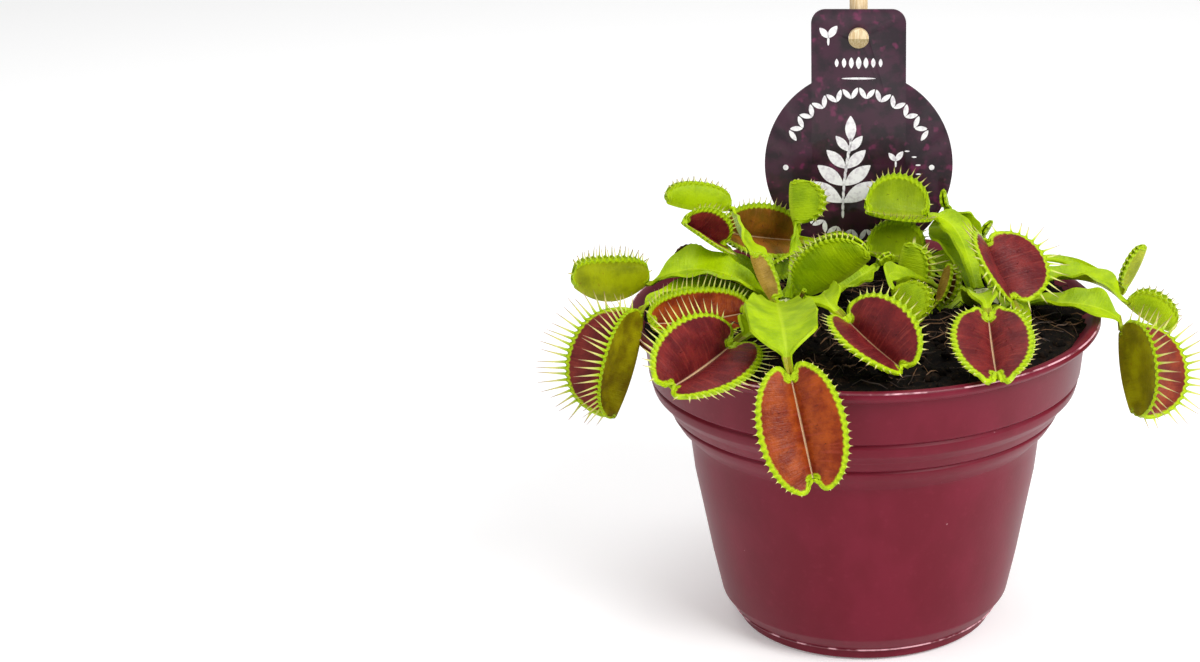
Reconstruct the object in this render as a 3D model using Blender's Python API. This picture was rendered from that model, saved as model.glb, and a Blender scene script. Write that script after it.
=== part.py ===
"""Potted venus flytrap: a nursery pot of peat, two rosettes of trap leaves, and a plant label on a stake.

Sizes are in millimetres in the named values below and are turned into metres as the meshes are made.
The origin is on the pot's axis, on the plane of its foot. +Z is up and -Y is the side that faces the viewer.
"""

from dataclasses import dataclass
from math import atan2, cos, pi, radians, sin, sqrt

import bmesh
import bpy
from mathutils import Matrix, Vector

MM = 0.001

# Driving dimensions, in millimetres
GAP = 0.3
POT_RIM_RADIUS = 45.0
POT_HEIGHT = 62.0
POT_WALL = 1.2
POT_LIP_INNER_RADIUS = 40.4
POT_FLOOR = 2.0
POT_SEGMENTS = 56
FOOT_RADIUS = 25.0
SOIL_TOP = 59.0
SOIL_BOTTOM = 6.0
POT_ROUND_ALLOWANCE = 0.15
DRAIN_HOLE_RADIUS = 3.2
DRAIN_HOLE_RING = 15.5
DRAIN_HOLES = 6

CROWN_CLEARANCE = 0.3
LEAF_START_GAP = 0.35
LEAF_THICKNESS = 0.65
YOUNG_LEAF_THICKNESS = 0.45
YOUNG_TRAP_LENGTH = 10.0
LEAF_BASE_HALF_WIDTH = 0.8
NECK_HALF_WIDTH = 0.75
NECK_LENGTH = 0.6
PETIOLE_FOLD = 68.0
PETIOLE_SECTIONS = 9
TRAP_SECTIONS = 8
LEAST_SECTIONS = 3
LEAST_SPACING = 1.5
TURNING_STEPS = 12
LOBE_STEPS = 2
LOBE_END_ANGLE = 24.0
LOBE_FULLNESS = 0.85

LABEL_X = -1.2
LABEL_Y = 31.0
LABEL_FOOT = 60.0
LABEL_LEAN = 6.0
LABEL_DISC_RADIUS = 18.8
LABEL_DISC_HEIGHT = 20.9
LABEL_ARC_STEPS = 40
LABEL_NECK_WIDTH = 18.8
LABEL_TOP = 51.9
LABEL_CORNER = 2.8
LABEL_THICKNESS = 0.8
LABEL_CORNER_STEPS = 4
PEG_RADIUS = 2.0
PEG_HEIGHT = 46.3
PEG_SHOULDER = 1.2
PEG_BEVEL = 2.2
PEG_TIP = 3.2
PEG_TIP_RADIUS = 0.35
HOLE_CUTTER_LENGTH = 6.0
ROUND_STEPS = 20
STAKE_RADIUS = 1.8
STAKE_OFFSET = LABEL_THICKNESS / 2 + GAP + STAKE_RADIUS
STAKE_BOTTOM = 41.5
STAKE_TOP = 115.5


@dataclass
class Crown:
    """A rhizome top that leaves grow from: a rounded knob set in the soil."""

    name: str
    centre: Vector
    radius: float


@dataclass
class Leaf:
    """One leaf: a winged petiole that starts on a crown and ends in a two-lobed trap.

    base is the azimuth and elevation, in degrees, of the place on the crown where the leaf starts. neck is where
    the petiole ends. aim is the azimuth and elevation of the trap's hinge, and twist turns the trap's mouth about
    that hinge. opening is half the angle between the lobes at the hinge, and curl is how far each lobe bends from
    there to its edge. The petiole leaves the crown straight for lead and meets the hinge's line for approach,
    both as shares of the distance it spans, or via pulls its arch towards a point instead of the approach. roll
    turns the petiole's blade about its middle line between its two ends.
    """

    name: str
    crown: str
    base: tuple
    neck: tuple
    aim: tuple
    twist: float
    length: float
    depth: float
    opening: float
    curl: float
    wing: float
    via: tuple = None
    overhang: float = 1.16
    bow: float = 0.05
    lead: float = 0.35
    approach: float = 0.3
    roll: float = 0.0


CROWNS = {
    "main": Crown("crown_main", Vector((-15.3, 1.0, 58.6)), 4.6),
    "side": Crown("crown_side", Vector((22.8, 9.0, 58.6)), 4.0),
}

LEAVES = (
    Leaf(
        "leaf_front_hanging", "main", base=(-98, 40), neck=(-13.5, -44.5, 68.5), aim=(-57, -67),
        twist=12, length=18.0, depth=8.4, opening=66, curl=2, wing=6.6, via=(-14.0, -38.5, 73.5),
        overhang=1.32,
    ),
    Leaf(
        "leaf_front_right", "main", base=(-26, 33), neck=(-4.9, -26.8, 70.8), aim=(-44, -23), twist=-20,
        length=14.0, depth=9.3, opening=48, curl=0, wing=3.2, overhang=1.34,
    ),
    Leaf(
        "leaf_front_left", "main", base=(-112, 20), neck=(-22.0, -25.2, 65.4), aim=(-121, -6),
        twist=-25, length=17.8, depth=9.6, opening=58, curl=0, wing=3.4, overhang=1.42,
    ),
    Leaf(
        "leaf_far_left_hanging", "main", base=(-198, 37), neck=(-41.0, -15.1, 67.5), aim=(-123, -62),
        twist=61, length=19.2, depth=12.8, opening=43, curl=-6, wing=3.0, via=(-36.5, -4.0, 67.0),
        overhang=1.09,
    ),
    Leaf(
        "leaf_left_half_shut", "main", base=(194, 56), neck=(-40.5, 1.5, 66.5), aim=(-160, 5),
        twist=-11, length=13.1, depth=8.0, opening=34, curl=-52, wing=5.6, via=(-33.0, 0.0, 72.5),
        bow=0.20, roll=-16,
    ),
    Leaf(
        "leaf_left_low", "main", base=(-160, 35), neck=(-21.0, -2.0, 62.0), aim=(-141, 7), twist=-33,
        length=20.7, depth=6.2, opening=70, curl=-25, wing=3.0,
    ),
    Leaf(
        "leaf_back_left_shut", "main", base=(154, 75), neck=(-25.5, 15.5, 77.0), aim=(-155, 14),
        twist=42, length=12.1, depth=5.0, opening=30, curl=-50, wing=3.6, via=(-23.5, 8.5, 70.0),
    ),
    Leaf(
        "leaf_back_left_small", "main", base=(135, 56), neck=(-26.5, 9.0, 71.0), aim=(-134, 35),
        twist=4, length=11.7, depth=6.0, opening=42, curl=-10, wing=2.4, via=(-22.0, 4.5, 66.0),
    ),
    Leaf(
        "leaf_back_open", "main", base=(84, 36), neck=(-12.5, 27.5, 66.5), aim=(-151, 15), twist=-22,
        length=16.1, depth=7.2, opening=49, curl=0, wing=4.0, lead=0.15, approach=0.85,
    ),
    Leaf(
        "leaf_back_upright", "main", base=(55, 75), neck=(-13.5, 17.5, 72.5), aim=(93, 0), twist=28,
        length=7.0, depth=6.0, opening=34, curl=-20, wing=1.2,
    ),
    Leaf(
        "leaf_back_young", "main", base=(92, 57), neck=(-12.5, 17.0, 67.5), aim=(-124, 0), twist=-57,
        length=9.0, depth=3.8, opening=56, curl=-20, wing=1.4, lead=0.15, approach=1.0,
    ),
    Leaf(
        "leaf_centre_shut", "main", base=(12, 54), neck=(-12.0, 2.0, 63.5), aim=(-28, 36), twist=-14,
        length=15.6, depth=8.6, opening=34, curl=-62, wing=2.6, lead=0.15, approach=0.15,
    ),
    Leaf(
        "leaf_centre_broad", "main", base=(9, 28), neck=(2.0, 6.5, 68.0), aim=(20, 24), twist=32,
        length=3.1, depth=2.0, opening=30, curl=-50, wing=3.8,
    ),
    Leaf(
        "leaf_centre_bud", "main", base=(-112, 70), neck=(-17.0, -5.0, 64.5), aim=(150, 62), twist=-3,
        length=8.5, depth=3.0, opening=24, curl=-44, wing=1.2, lead=0.35, approach=0.3,
    ),
    Leaf(
        "leaf_rear_hood", "side", base=(126, 65), neck=(13.5, 23.5, 73.0), aim=(-165, 9), twist=-19,
        length=11.8, depth=8.2, opening=62, curl=-35, wing=3.2,
    ),
    Leaf(
        "leaf_rear_arch", "side", base=(140, 21), neck=(12.5, 24.5, 64.0), aim=(-159, 13), twist=-26,
        length=11.4, depth=7.4, opening=55, curl=-30, wing=3.0,
    ),
    Leaf(
        "leaf_rear_pale", "side", base=(114, 43), neck=(16.5, 27.0, 73.5), aim=(-142, 74), twist=-43,
        length=3.0, depth=2.2, opening=25, curl=-40, wing=5.2,
    ),
    Leaf(
        "leaf_middle_upright", "side", base=(168, 47), neck=(6.5, 8.0, 61.5), aim=(53, 75), twist=-10,
        length=8.8, depth=6.8, opening=27, curl=-20, wing=2.2,
    ),
    Leaf(
        "leaf_middle_round", "side", base=(198, 30), neck=(5.0, -9.5, 69.5), aim=(-55, -44), twist=-34,
        length=7.0, depth=6.9, opening=32, curl=-55, wing=2.0,
    ),
    Leaf(
        "leaf_middle_young", "side", base=(200, 64), neck=(13.5, -0.5, 62.0), aim=(64, 53), twist=-63,
        length=7.4, depth=4.0, opening=34, curl=-40, wing=1.8, lead=0.15, approach=0.45,
    ),
    Leaf(
        "leaf_right_open", "side", base=(-3, 59), neck=(28.5, -9.9, 65.2), aim=(123, 45), twist=-151,
        length=11.9, depth=10.8, opening=62, curl=0, wing=2.4, overhang=1.34, lead=0.15,
    ),
    Leaf(
        "leaf_right_heart", "side", base=(-111, 24), neck=(22.2, -22.6, 69.8), aim=(-87, -19), twist=16,
        length=15.5, depth=7.9, opening=67, curl=0, wing=2.6, overhang=1.31,
    ),
    Leaf(
        "leaf_far_right_green", "side", base=(-1, 33), neck=(49.5, 3.0, 62.5), aim=(-7, -31),
        twist=-15, length=9.3, depth=5.6, opening=32, curl=-45, wing=4.8, via=(43.5, 11.0, 67.0),
    ),
    Leaf(
        "leaf_far_right_bud", "side", base=(40, 52), neck=(50.5, 11.0, 61.5), aim=(-9, 68), twist=69,
        length=8.5, depth=3.4, opening=16, curl=-28, wing=0.9, via=(40.5, 21.0, 67.5),
    ),
    Leaf(
        "leaf_far_right_hanging", "side", base=(-46, 20), neck=(48.0, -6.9, 62.2), aim=(-75, -60),
        twist=20, length=14.7, depth=13.3, opening=44, curl=-6, wing=4.4, via=(42.0, -10.0, 68.0),
        overhang=1.3,
    ),
    Leaf(
        "leaf_rear_blade", "side", base=(59, 28), neck=(23.5, 26.5, 67.5), aim=(-38, 60), twist=-23,
        length=3.3, depth=2.0, opening=25, curl=-40, wing=3.4,
    ),
    Leaf(
        "leaf_old_dark", "main", base=(159, 20), neck=(-30.0, 10.0, 69.0), aim=(-150, 6), twist=12,
        length=6.0, depth=3.0, opening=22, curl=-30, wing=1.4,
    ),
    Leaf(
        "leaf_red_bud", "main", base=(-62, 62), neck=(-12.5, -3.5, 64.5), aim=(-60, 50), twist=-30,
        length=2.6, depth=1.1, opening=20, curl=-30, wing=0.8,
    ),
)


def remove_everything():
    """Empty the scene."""
    for item in list(bpy.data.objects):
        bpy.data.objects.remove(item, do_unlink=True)


def material(name, colour, roughness, metallic=0.0):
    """Make a plain Principled BSDF material from a linear RGB colour."""
    made = bpy.data.materials.new(name)
    made.use_nodes = True
    shader = made.node_tree.nodes["Principled BSDF"]
    shader.inputs["Base Color"].default_value = (*colour, 1.0)
    shader.inputs["Roughness"].default_value = roughness
    shader.inputs["Metallic"].default_value = metallic
    return made


def object_from(bm, name, look, closed=True):
    """Turn a bmesh in millimetres into a named object in metres, with a closed shape's faces turned outwards."""
    if closed:
        bmesh.ops.recalc_face_normals(bm, faces=bm.faces)
    bmesh.ops.scale(bm, vec=(MM, MM, MM), verts=bm.verts)
    mesh = bpy.data.meshes.new(name)
    bm.to_mesh(mesh)
    bm.free()
    made = bpy.data.objects.new(name, mesh)
    bpy.context.scene.collection.objects.link(made)
    made.data.materials.append(look)
    return made


def hide_cutter(cutter):
    """Keep a cutting solid out of the picture."""
    cutter.hide_render = True
    cutter.display_type = "WIRE"


def cut(target, cutter):
    """Take one solid away from another."""
    step = target.modifiers.new("cut_" + cutter.name, "BOOLEAN")
    step.operation = "DIFFERENCE"
    step.solver = "EXACT"
    step.object = cutter
    hide_cutter(cutter)


def turned(profile, name, look, segments=POT_SEGMENTS):
    """Turn a closed profile of (radius, height) points about the Z axis."""
    bm = bmesh.new()
    rings = []
    for step in range(segments):
        angle = 2 * pi * step / segments
        ring = []
        for radius, height in profile:
            if radius == 0.0:
                ring.append(rings[0][len(ring)] if rings else bm.verts.new((0.0, 0.0, height)))
            else:
                ring.append(bm.verts.new((radius * cos(angle), radius * sin(angle), height)))
        rings.append(ring)
    for step in range(segments):
        here = rings[step]
        there = rings[(step + 1) % segments]
        closed = profile[0][0] != 0.0
        for point in range(len(profile) if closed else len(profile) - 1):
            after = (point + 1) % len(profile)
            corners = [here[point], there[point], there[after], here[after]]
            corners = [v for i, v in enumerate(corners) if v not in corners[:i]]
            bm.faces.new(corners)
    return object_from(bm, name, look)


def pot_outer_profile():
    """The pot's outside from the foot up to the lip: a tapered body, two stepped bands and a flange."""
    return [
        (FOOT_RADIUS - 0.9, 0.0),
        (FOOT_RADIUS, 0.4),
        (FOOT_RADIUS + 0.2, 2.0),
        (26.1, 2.7),
        (28.1, 5.5),
        (29.8, 13.5),
        (31.9, 25.0),
        (33.0, 31.0),
        (33.6, 36.6),
        (33.9, 38.9),
        (36.1, 41.2),
        (37.1, 42.8),
        (37.9, 44.6),
        (38.6, 46.0),
        (40.6, 48.0),
        (41.2, 50.4),
        (42.2, 59.2),
        (44.2, 59.9),
        (POT_RIM_RADIUS, 60.8),
        (POT_RIM_RADIUS - 0.2, 61.7),
        (POT_RIM_RADIUS - 0.8, POT_HEIGHT),
    ]


def pot_inner_profile():
    """The pot's inside from the lip down to the middle of its floor."""
    return [
        (POT_LIP_INNER_RADIUS + 0.4, POT_HEIGHT),
        (POT_LIP_INNER_RADIUS, 61.4),
        (POT_LIP_INNER_RADIUS - 0.4, 50.4),
        (36.9, 45.6),
        (35.7, 42.6),
        (32.4, 38.4),
        (28.2, 13.5),
        (26.4, 5.0),
        (24.8, 2.8),
        (23.0, POT_FLOOR),
    ]


def make_pot(look):
    """The moulded pot, open at the top, with drain holes round its floor."""
    profile = [(0.0, 0.0)] + pot_outer_profile() + pot_inner_profile() + [(0.0, POT_FLOOR)]
    pot = turned(profile, "pot", look)
    bm = bmesh.new()
    for hole in range(DRAIN_HOLES):
        angle = 2 * pi * (hole + 0.5) / DRAIN_HOLES
        place = Matrix.Translation((DRAIN_HOLE_RING * cos(angle), DRAIN_HOLE_RING * sin(angle), POT_FLOOR / 2))
        add_rod(bm, DRAIN_HOLE_RADIUS, POT_FLOOR * 3, place)
    cut(pot, object_from(bm, "drain_hole_cutter", look))
    return pot


def soil_profile():
    """The plug of peat: the pot's inside shape, drawn in by the gap between pieces."""
    draw_in = GAP + POT_ROUND_ALLOWANCE
    walls = [(radius - draw_in, height) for radius, height in pot_inner_profile() if 10.0 < height < SOIL_TOP]
    edge = POT_LIP_INNER_RADIUS - 0.1 - draw_in
    return [(0.0, SOIL_TOP), (edge, SOIL_TOP)] + walls + [(25.0, SOIL_BOTTOM), (0.0, SOIL_BOTTOM)]


def make_soil(look):
    """The peat, with a pocket for each crown and a hole for the stake."""
    soil = turned(soil_profile(), "peat_soil", look)
    for crown in CROWNS.values():
        bm = bmesh.new()
        place = Matrix.Translation(crown.centre)
        bmesh.ops.create_icosphere(bm, subdivisions=3, radius=crown.radius + CROWN_CLEARANCE, matrix=place)
        cut(soil, object_from(bm, crown.name + "_pocket_cutter", look))
    bm = bmesh.new()
    low = STAKE_BOTTOM - LABEL_FOOT - GAP
    high = SOIL_TOP - LABEL_FOOT + 3.0
    add_rod(bm, STAKE_RADIUS + GAP, high - low, Matrix.Translation((0.0, STAKE_OFFSET, (low + high) / 2)))
    cut(soil, leaned(object_from(bm, "stake_hole_cutter", look)))
    return soil


def make_crown(crown, look):
    """A rounded rhizome top with the leaves' starting places all round it."""
    bm = bmesh.new()
    bmesh.ops.create_icosphere(bm, subdivisions=3, radius=crown.radius, matrix=Matrix.Translation(crown.centre))
    return object_from(bm, crown.name, look)


def direction(azimuth, elevation):
    """A unit vector from an azimuth and an elevation in degrees."""
    turn = radians(azimuth)
    rise = radians(elevation)
    return Vector((cos(rise) * cos(turn), cos(rise) * sin(turn), sin(rise)))


def square_to(vector, axis):
    """The unit vector nearest to vector that is square to axis."""
    return (vector - axis * vector.dot(axis)).normalized()


def eased(low, high, value):
    """A smooth step from 0 at low to 1 at high."""
    share = min(max((value - low) / (high - low), 0.0), 1.0)
    return share * share * (3 - 2 * share)


def bezier(points, share):
    """A point on a cubic Bezier curve."""
    rest = 1 - share
    first, second, third, fourth = points
    return rest**3 * first + 3 * share * rest**2 * second + 3 * share**2 * rest * third + share**3 * fourth


def tangent(points, share):
    """The unit direction of a cubic Bezier curve."""
    step = 0.001
    return (bezier(points, min(share + step, 1.0)) - bezier(points, max(share - step, 0.0))).normalized()


def petiole_curve(leaf, start, outward, hinge):
    """The petiole's middle line from the crown to the trap's neck."""
    neck = Vector(leaf.neck)
    span = (neck - start).length
    pull = Vector(leaf.via) if leaf.via else neck - hinge * span * leaf.approach
    return [start, start + outward * span * leaf.lead, pull, neck]


def sections_for(length, most):
    """How many rows of points a stretch of leaf gets, so that they stay further apart than the leaf is thick."""
    return max(LEAST_SECTIONS, min(most, round(length / LEAST_SPACING) + 1))


def petiole_half_width(leaf, share):
    """Half the petiole's width: narrow at the crown, widest past the middle, narrow again at the neck."""
    width = leaf.wing * (0.34 + 0.66 * eased(0.0, 0.66, share)) * (1 - eased(0.80, 1.0, share))
    return max(width, NECK_HALF_WIDTH)


def petiole_rows(leaf, curve, upper_side, mouth_twist):
    """Rows of points across the petiole, folded a little along its middle like a shallow V."""
    rows = []
    upper = upper_side
    fold = radians(PETIOLE_FOLD)
    last = sections_for((curve[3] - curve[0]).length, PETIOLE_SECTIONS) - 1
    for section in range(last + 1):
        share = section / last
        for step in range(TURNING_STEPS):
            before = (section - 1 + (step + 1) / TURNING_STEPS) / last
            upper = square_to(upper, tangent(curve, max(before, 0.0)))
        along = tangent(curve, share)
        roll = radians(leaf.roll) * eased(0.0, 0.35, share) * eased(1.0, 0.7, share)
        turned_up = Matrix.Rotation(mouth_twist * eased(0.35, 1.0, share) + roll, 3, along) @ upper
        side = turned_up.cross(along)
        half = petiole_half_width(leaf, share)
        row = []
        for step in range(-LOBE_STEPS, LOBE_STEPS + 1):
            reach = step / LOBE_STEPS
            out = side * reach * half * sin(fold)
            up = turned_up * abs(reach) * half * cos(fold)
            row.append(bezier(curve, share) + out + up)
        rows.append(row)
    return rows, upper


def lobe_offset(distance, opening, curl):
    """How far sideways and how far up a lobe has reached at a distance from its hinge."""
    start = radians(opening)
    if abs(curl) < 0.1:
        return distance * sin(start), distance * cos(start)
    bend = radians(curl)
    reach = distance / bend
    return reach * (cos(start) - cos(start + bend)), reach * (sin(start + bend) - sin(start))


def trap_rows(leaf, middle, hinge, mouth):
    """Rows of points across both lobes of the trap, from the neck end to the far end."""
    half = leaf.length / 2
    reach = half * leaf.overhang
    side = mouth.cross(hinge)
    first = radians(LOBE_END_ANGLE)
    rows = []
    last = sections_for(leaf.length, TRAP_SECTIONS) - 1
    for section in range(last + 1):
        angle = first + (pi - 2 * first) * section / last
        at_hinge = -half * cos(angle) / cos(first)
        at_edge = -reach * cos(angle)
        lobe = leaf.depth * sin(angle) ** LOBE_FULLNESS
        sag = leaf.bow * leaf.length * (1 - (at_hinge / half) ** 2)
        row = []
        for step in range(-LOBE_STEPS, LOBE_STEPS + 1):
            share = abs(step) / LOBE_STEPS
            sideways, up = lobe_offset(lobe * share, leaf.opening, leaf.curl * share)
            if step < 0:
                sideways = -sideways
            along = at_hinge + (at_edge - at_hinge) * share**1.2
            row.append(middle + hinge * along + side * sideways + mouth * (up - sag))
        rows.append(row)
    return rows


def leaf_rows(leaf):
    """All the rows of one leaf's middle surface, from the crown to the trap's far end."""
    crown = CROWNS[leaf.crown]
    outward = direction(*leaf.base)
    start = crown.centre + outward * (crown.radius + LEAF_START_GAP)
    hinge = direction(*leaf.aim)
    curve = petiole_curve(leaf, start, outward, hinge)
    upper_side = square_to(Vector((-cos(radians(leaf.base[0])), -sin(radians(leaf.base[0])), 0.9)), outward)
    twist = radians(leaf.twist)
    rows, upper = petiole_rows(leaf, curve, upper_side, twist)
    bend = tangent(curve, 1.0).rotation_difference(hinge)
    mouth = Matrix.Rotation(twist, 3, hinge) @ square_to(bend @ upper, hinge)
    back = leaf.length / 2 * (leaf.overhang - 1) + NECK_LENGTH
    middle = Vector(leaf.neck) + hinge * (back + leaf.length / 2)
    return rows + trap_rows(leaf, middle, hinge, mouth)


def make_leaf(leaf, look):
    """One whole leaf: a sheet through its rows, given its thickness on the outer side."""
    bm = bmesh.new()
    rows = [[bm.verts.new(point) for point in row] for row in leaf_rows(leaf)]
    for row, after in zip(rows, rows[1:]):
        for place in range(len(row) - 1):
            bm.faces.new((row[place], after[place], after[place + 1], row[place + 1]))
    made = object_from(bm, leaf.name, look, closed=False)
    solid = made.modifiers.new("leaf_thickness", "SOLIDIFY")
    young = leaf.length < YOUNG_TRAP_LENGTH
    solid.thickness = (YOUNG_LEAF_THICKNESS if young else LEAF_THICKNESS) * MM
    solid.offset = -1.0
    return made


def add_rod(bm, radius, length, place):
    """Add a plain round rod, centred where the place says."""
    bmesh.ops.create_cone(
        bm, cap_ends=True, segments=ROUND_STEPS, radius1=radius, radius2=radius, depth=length, matrix=place
    )


def leaned(obj):
    """Lean a part back about the line where the label meets the soil."""
    foot = Vector((LABEL_X, LABEL_Y, LABEL_FOOT)) * MM
    obj.matrix_world = Matrix.Translation(foot) @ Matrix.Rotation(radians(-LABEL_LEAN), 4, "X")
    return obj


def label_outline():
    """The card's outline about its foot: a disc that runs up into a neck with rounded corners."""
    half = LABEL_NECK_WIDTH / 2
    meet = atan2(sqrt(LABEL_DISC_RADIUS**2 - half**2), half)
    sweep = 2 * pi - (pi - 2 * meet)
    points = []
    for step in range(LABEL_ARC_STEPS + 1):
        angle = pi - meet + sweep * step / LABEL_ARC_STEPS
        points.append((LABEL_DISC_RADIUS * cos(angle), LABEL_DISC_HEIGHT + LABEL_DISC_RADIUS * sin(angle)))
    for side, first in ((1, 0.0), (-1, pi / 2)):
        for step in range(LABEL_CORNER_STEPS + 1):
            angle = first + pi / 2 * step / LABEL_CORNER_STEPS
            across = side * (half - LABEL_CORNER) + LABEL_CORNER * cos(angle)
            points.append((across, LABEL_TOP - LABEL_CORNER + LABEL_CORNER * sin(angle)))
    return points


def make_label(look):
    """The card, facing the viewer, with a hole in its neck for the peg."""
    bm = bmesh.new()
    front = [bm.verts.new((across, -LABEL_THICKNESS / 2, up)) for across, up in label_outline()]
    face = bm.faces.new(front)
    pushed = bmesh.ops.extrude_face_region(bm, geom=[face])
    moved = [item for item in pushed["geom"] if isinstance(item, bmesh.types.BMVert)]
    bmesh.ops.translate(bm, vec=(0.0, LABEL_THICKNESS, 0.0), verts=moved)
    label = leaned(object_from(bm, "plant_label", look))
    bm = bmesh.new()
    place = Matrix.Translation((0.0, 0.0, PEG_HEIGHT)) @ Matrix.Rotation(pi / 2, 4, "X")
    add_rod(bm, PEG_RADIUS + GAP, HOLE_CUTTER_LENGTH, place)
    cut(label, leaned(object_from(bm, "label_hole_cutter", look)))
    return label


def make_peg(look):
    """A short wooden peg with a blunt cone for a tip, through the card's hole."""
    bm = bmesh.new()
    back = STAKE_OFFSET - STAKE_RADIUS - GAP
    rings = (
        (back, PEG_RADIUS),
        (-PEG_SHOULDER, PEG_RADIUS),
        (-PEG_BEVEL, PEG_RADIUS * 0.8),
        (-PEG_TIP, PEG_TIP_RADIUS),
    )
    circles = []
    for depth, radius in rings:
        circle = []
        for step in range(ROUND_STEPS):
            angle = 2 * pi * step / ROUND_STEPS
            circle.append(bm.verts.new((radius * cos(angle), depth, PEG_HEIGHT + radius * sin(angle))))
        circles.append(circle)
    for near, far in zip(circles, circles[1:]):
        for step in range(ROUND_STEPS):
            after = (step + 1) % ROUND_STEPS
            bm.faces.new((near[step], near[after], far[after], far[step]))
    bm.faces.new(circles[0])
    bm.faces.new(circles[-1])
    return leaned(object_from(bm, "label_peg", look))


def make_stake(look):
    """A round wooden stake behind the card, pressed into the peat."""
    bm = bmesh.new()
    low = STAKE_BOTTOM - LABEL_FOOT
    high = STAKE_TOP - LABEL_FOOT
    add_rod(bm, STAKE_RADIUS, high - low, Matrix.Translation((0.0, STAKE_OFFSET, (low + high) / 2)))
    return leaned(object_from(bm, "label_stake", look))


def main():
    """Build every piece of the plant in its pot."""
    remove_everything()
    make_pot(material("burgundy_polypropylene", (0.21, 0.025, 0.045), 0.42))
    make_soil(material("peat", (0.012, 0.008, 0.006), 0.95))
    rhizome = material("rhizome", (0.42, 0.40, 0.22), 0.7)
    for crown in CROWNS.values():
        make_crown(crown, rhizome)
    leaf_look = material("leaf", (0.25, 0.42, 0.03), 0.45)
    for leaf in LEAVES:
        make_leaf(leaf, leaf_look)
    make_label(material("printed_card", (0.025, 0.008, 0.018), 0.35))
    wood = material("birch", (0.62, 0.45, 0.25), 0.6)
    make_stake(wood)
    make_peg(wood)


main()
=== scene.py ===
"""Looks of a potted venus flytrap: moulded pot, peat, trap leaves, and a card label on a birch stake.

Lengths in the named values are millimetres, and MM turns them into metres as each mesh is placed.
"""

import logging
import random
from dataclasses import dataclass
from enum import Enum
from math import atan2, cos, pi, radians, sin
from typing import ClassVar

import bpy
from mathutils import Matrix, Vector, kdtree, noise


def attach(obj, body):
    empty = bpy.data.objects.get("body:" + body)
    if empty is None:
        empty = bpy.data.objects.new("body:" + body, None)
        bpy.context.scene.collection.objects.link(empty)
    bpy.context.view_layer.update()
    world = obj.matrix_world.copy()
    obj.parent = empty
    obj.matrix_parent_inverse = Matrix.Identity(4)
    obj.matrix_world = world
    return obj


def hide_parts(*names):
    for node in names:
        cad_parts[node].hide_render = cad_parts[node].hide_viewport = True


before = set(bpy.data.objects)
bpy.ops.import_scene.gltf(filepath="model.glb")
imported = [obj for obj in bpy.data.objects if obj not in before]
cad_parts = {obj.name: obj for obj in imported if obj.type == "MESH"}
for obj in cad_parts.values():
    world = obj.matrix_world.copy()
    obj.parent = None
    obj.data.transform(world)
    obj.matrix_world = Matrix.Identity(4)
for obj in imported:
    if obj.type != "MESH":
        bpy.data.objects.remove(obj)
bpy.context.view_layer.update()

LOG = logging.getLogger("flytrap")
MM = 0.001
ROOT = "root"
FAR_FROM_MARGIN = 20.0
TO_FRONT = Matrix.Rotation(pi / 2, 4, "X")

Level = bpy.types.NodeSocket | float
Colour = bpy.types.NodeSocket | str


# ----------------------------------------------------------------------------------------------------------
# Colours and material nodes


def linear(hex_colour: str) -> tuple[float, float, float, float]:
    """Turn an sRGB hex colour into a linear one.

    Args:
        hex_colour: The colour as "#rrggbb".

    Returns:
        Linear red, green and blue, with an alpha of 1.
    """
    parts = [int(hex_colour[place : place + 2], 16) / 255 for place in (1, 3, 5)]
    light = [part / 12.92 if part <= 0.04045 else ((part + 0.055) / 1.055) ** 2.4 for part in parts]
    return (light[0], light[1], light[2], 1.0)


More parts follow.
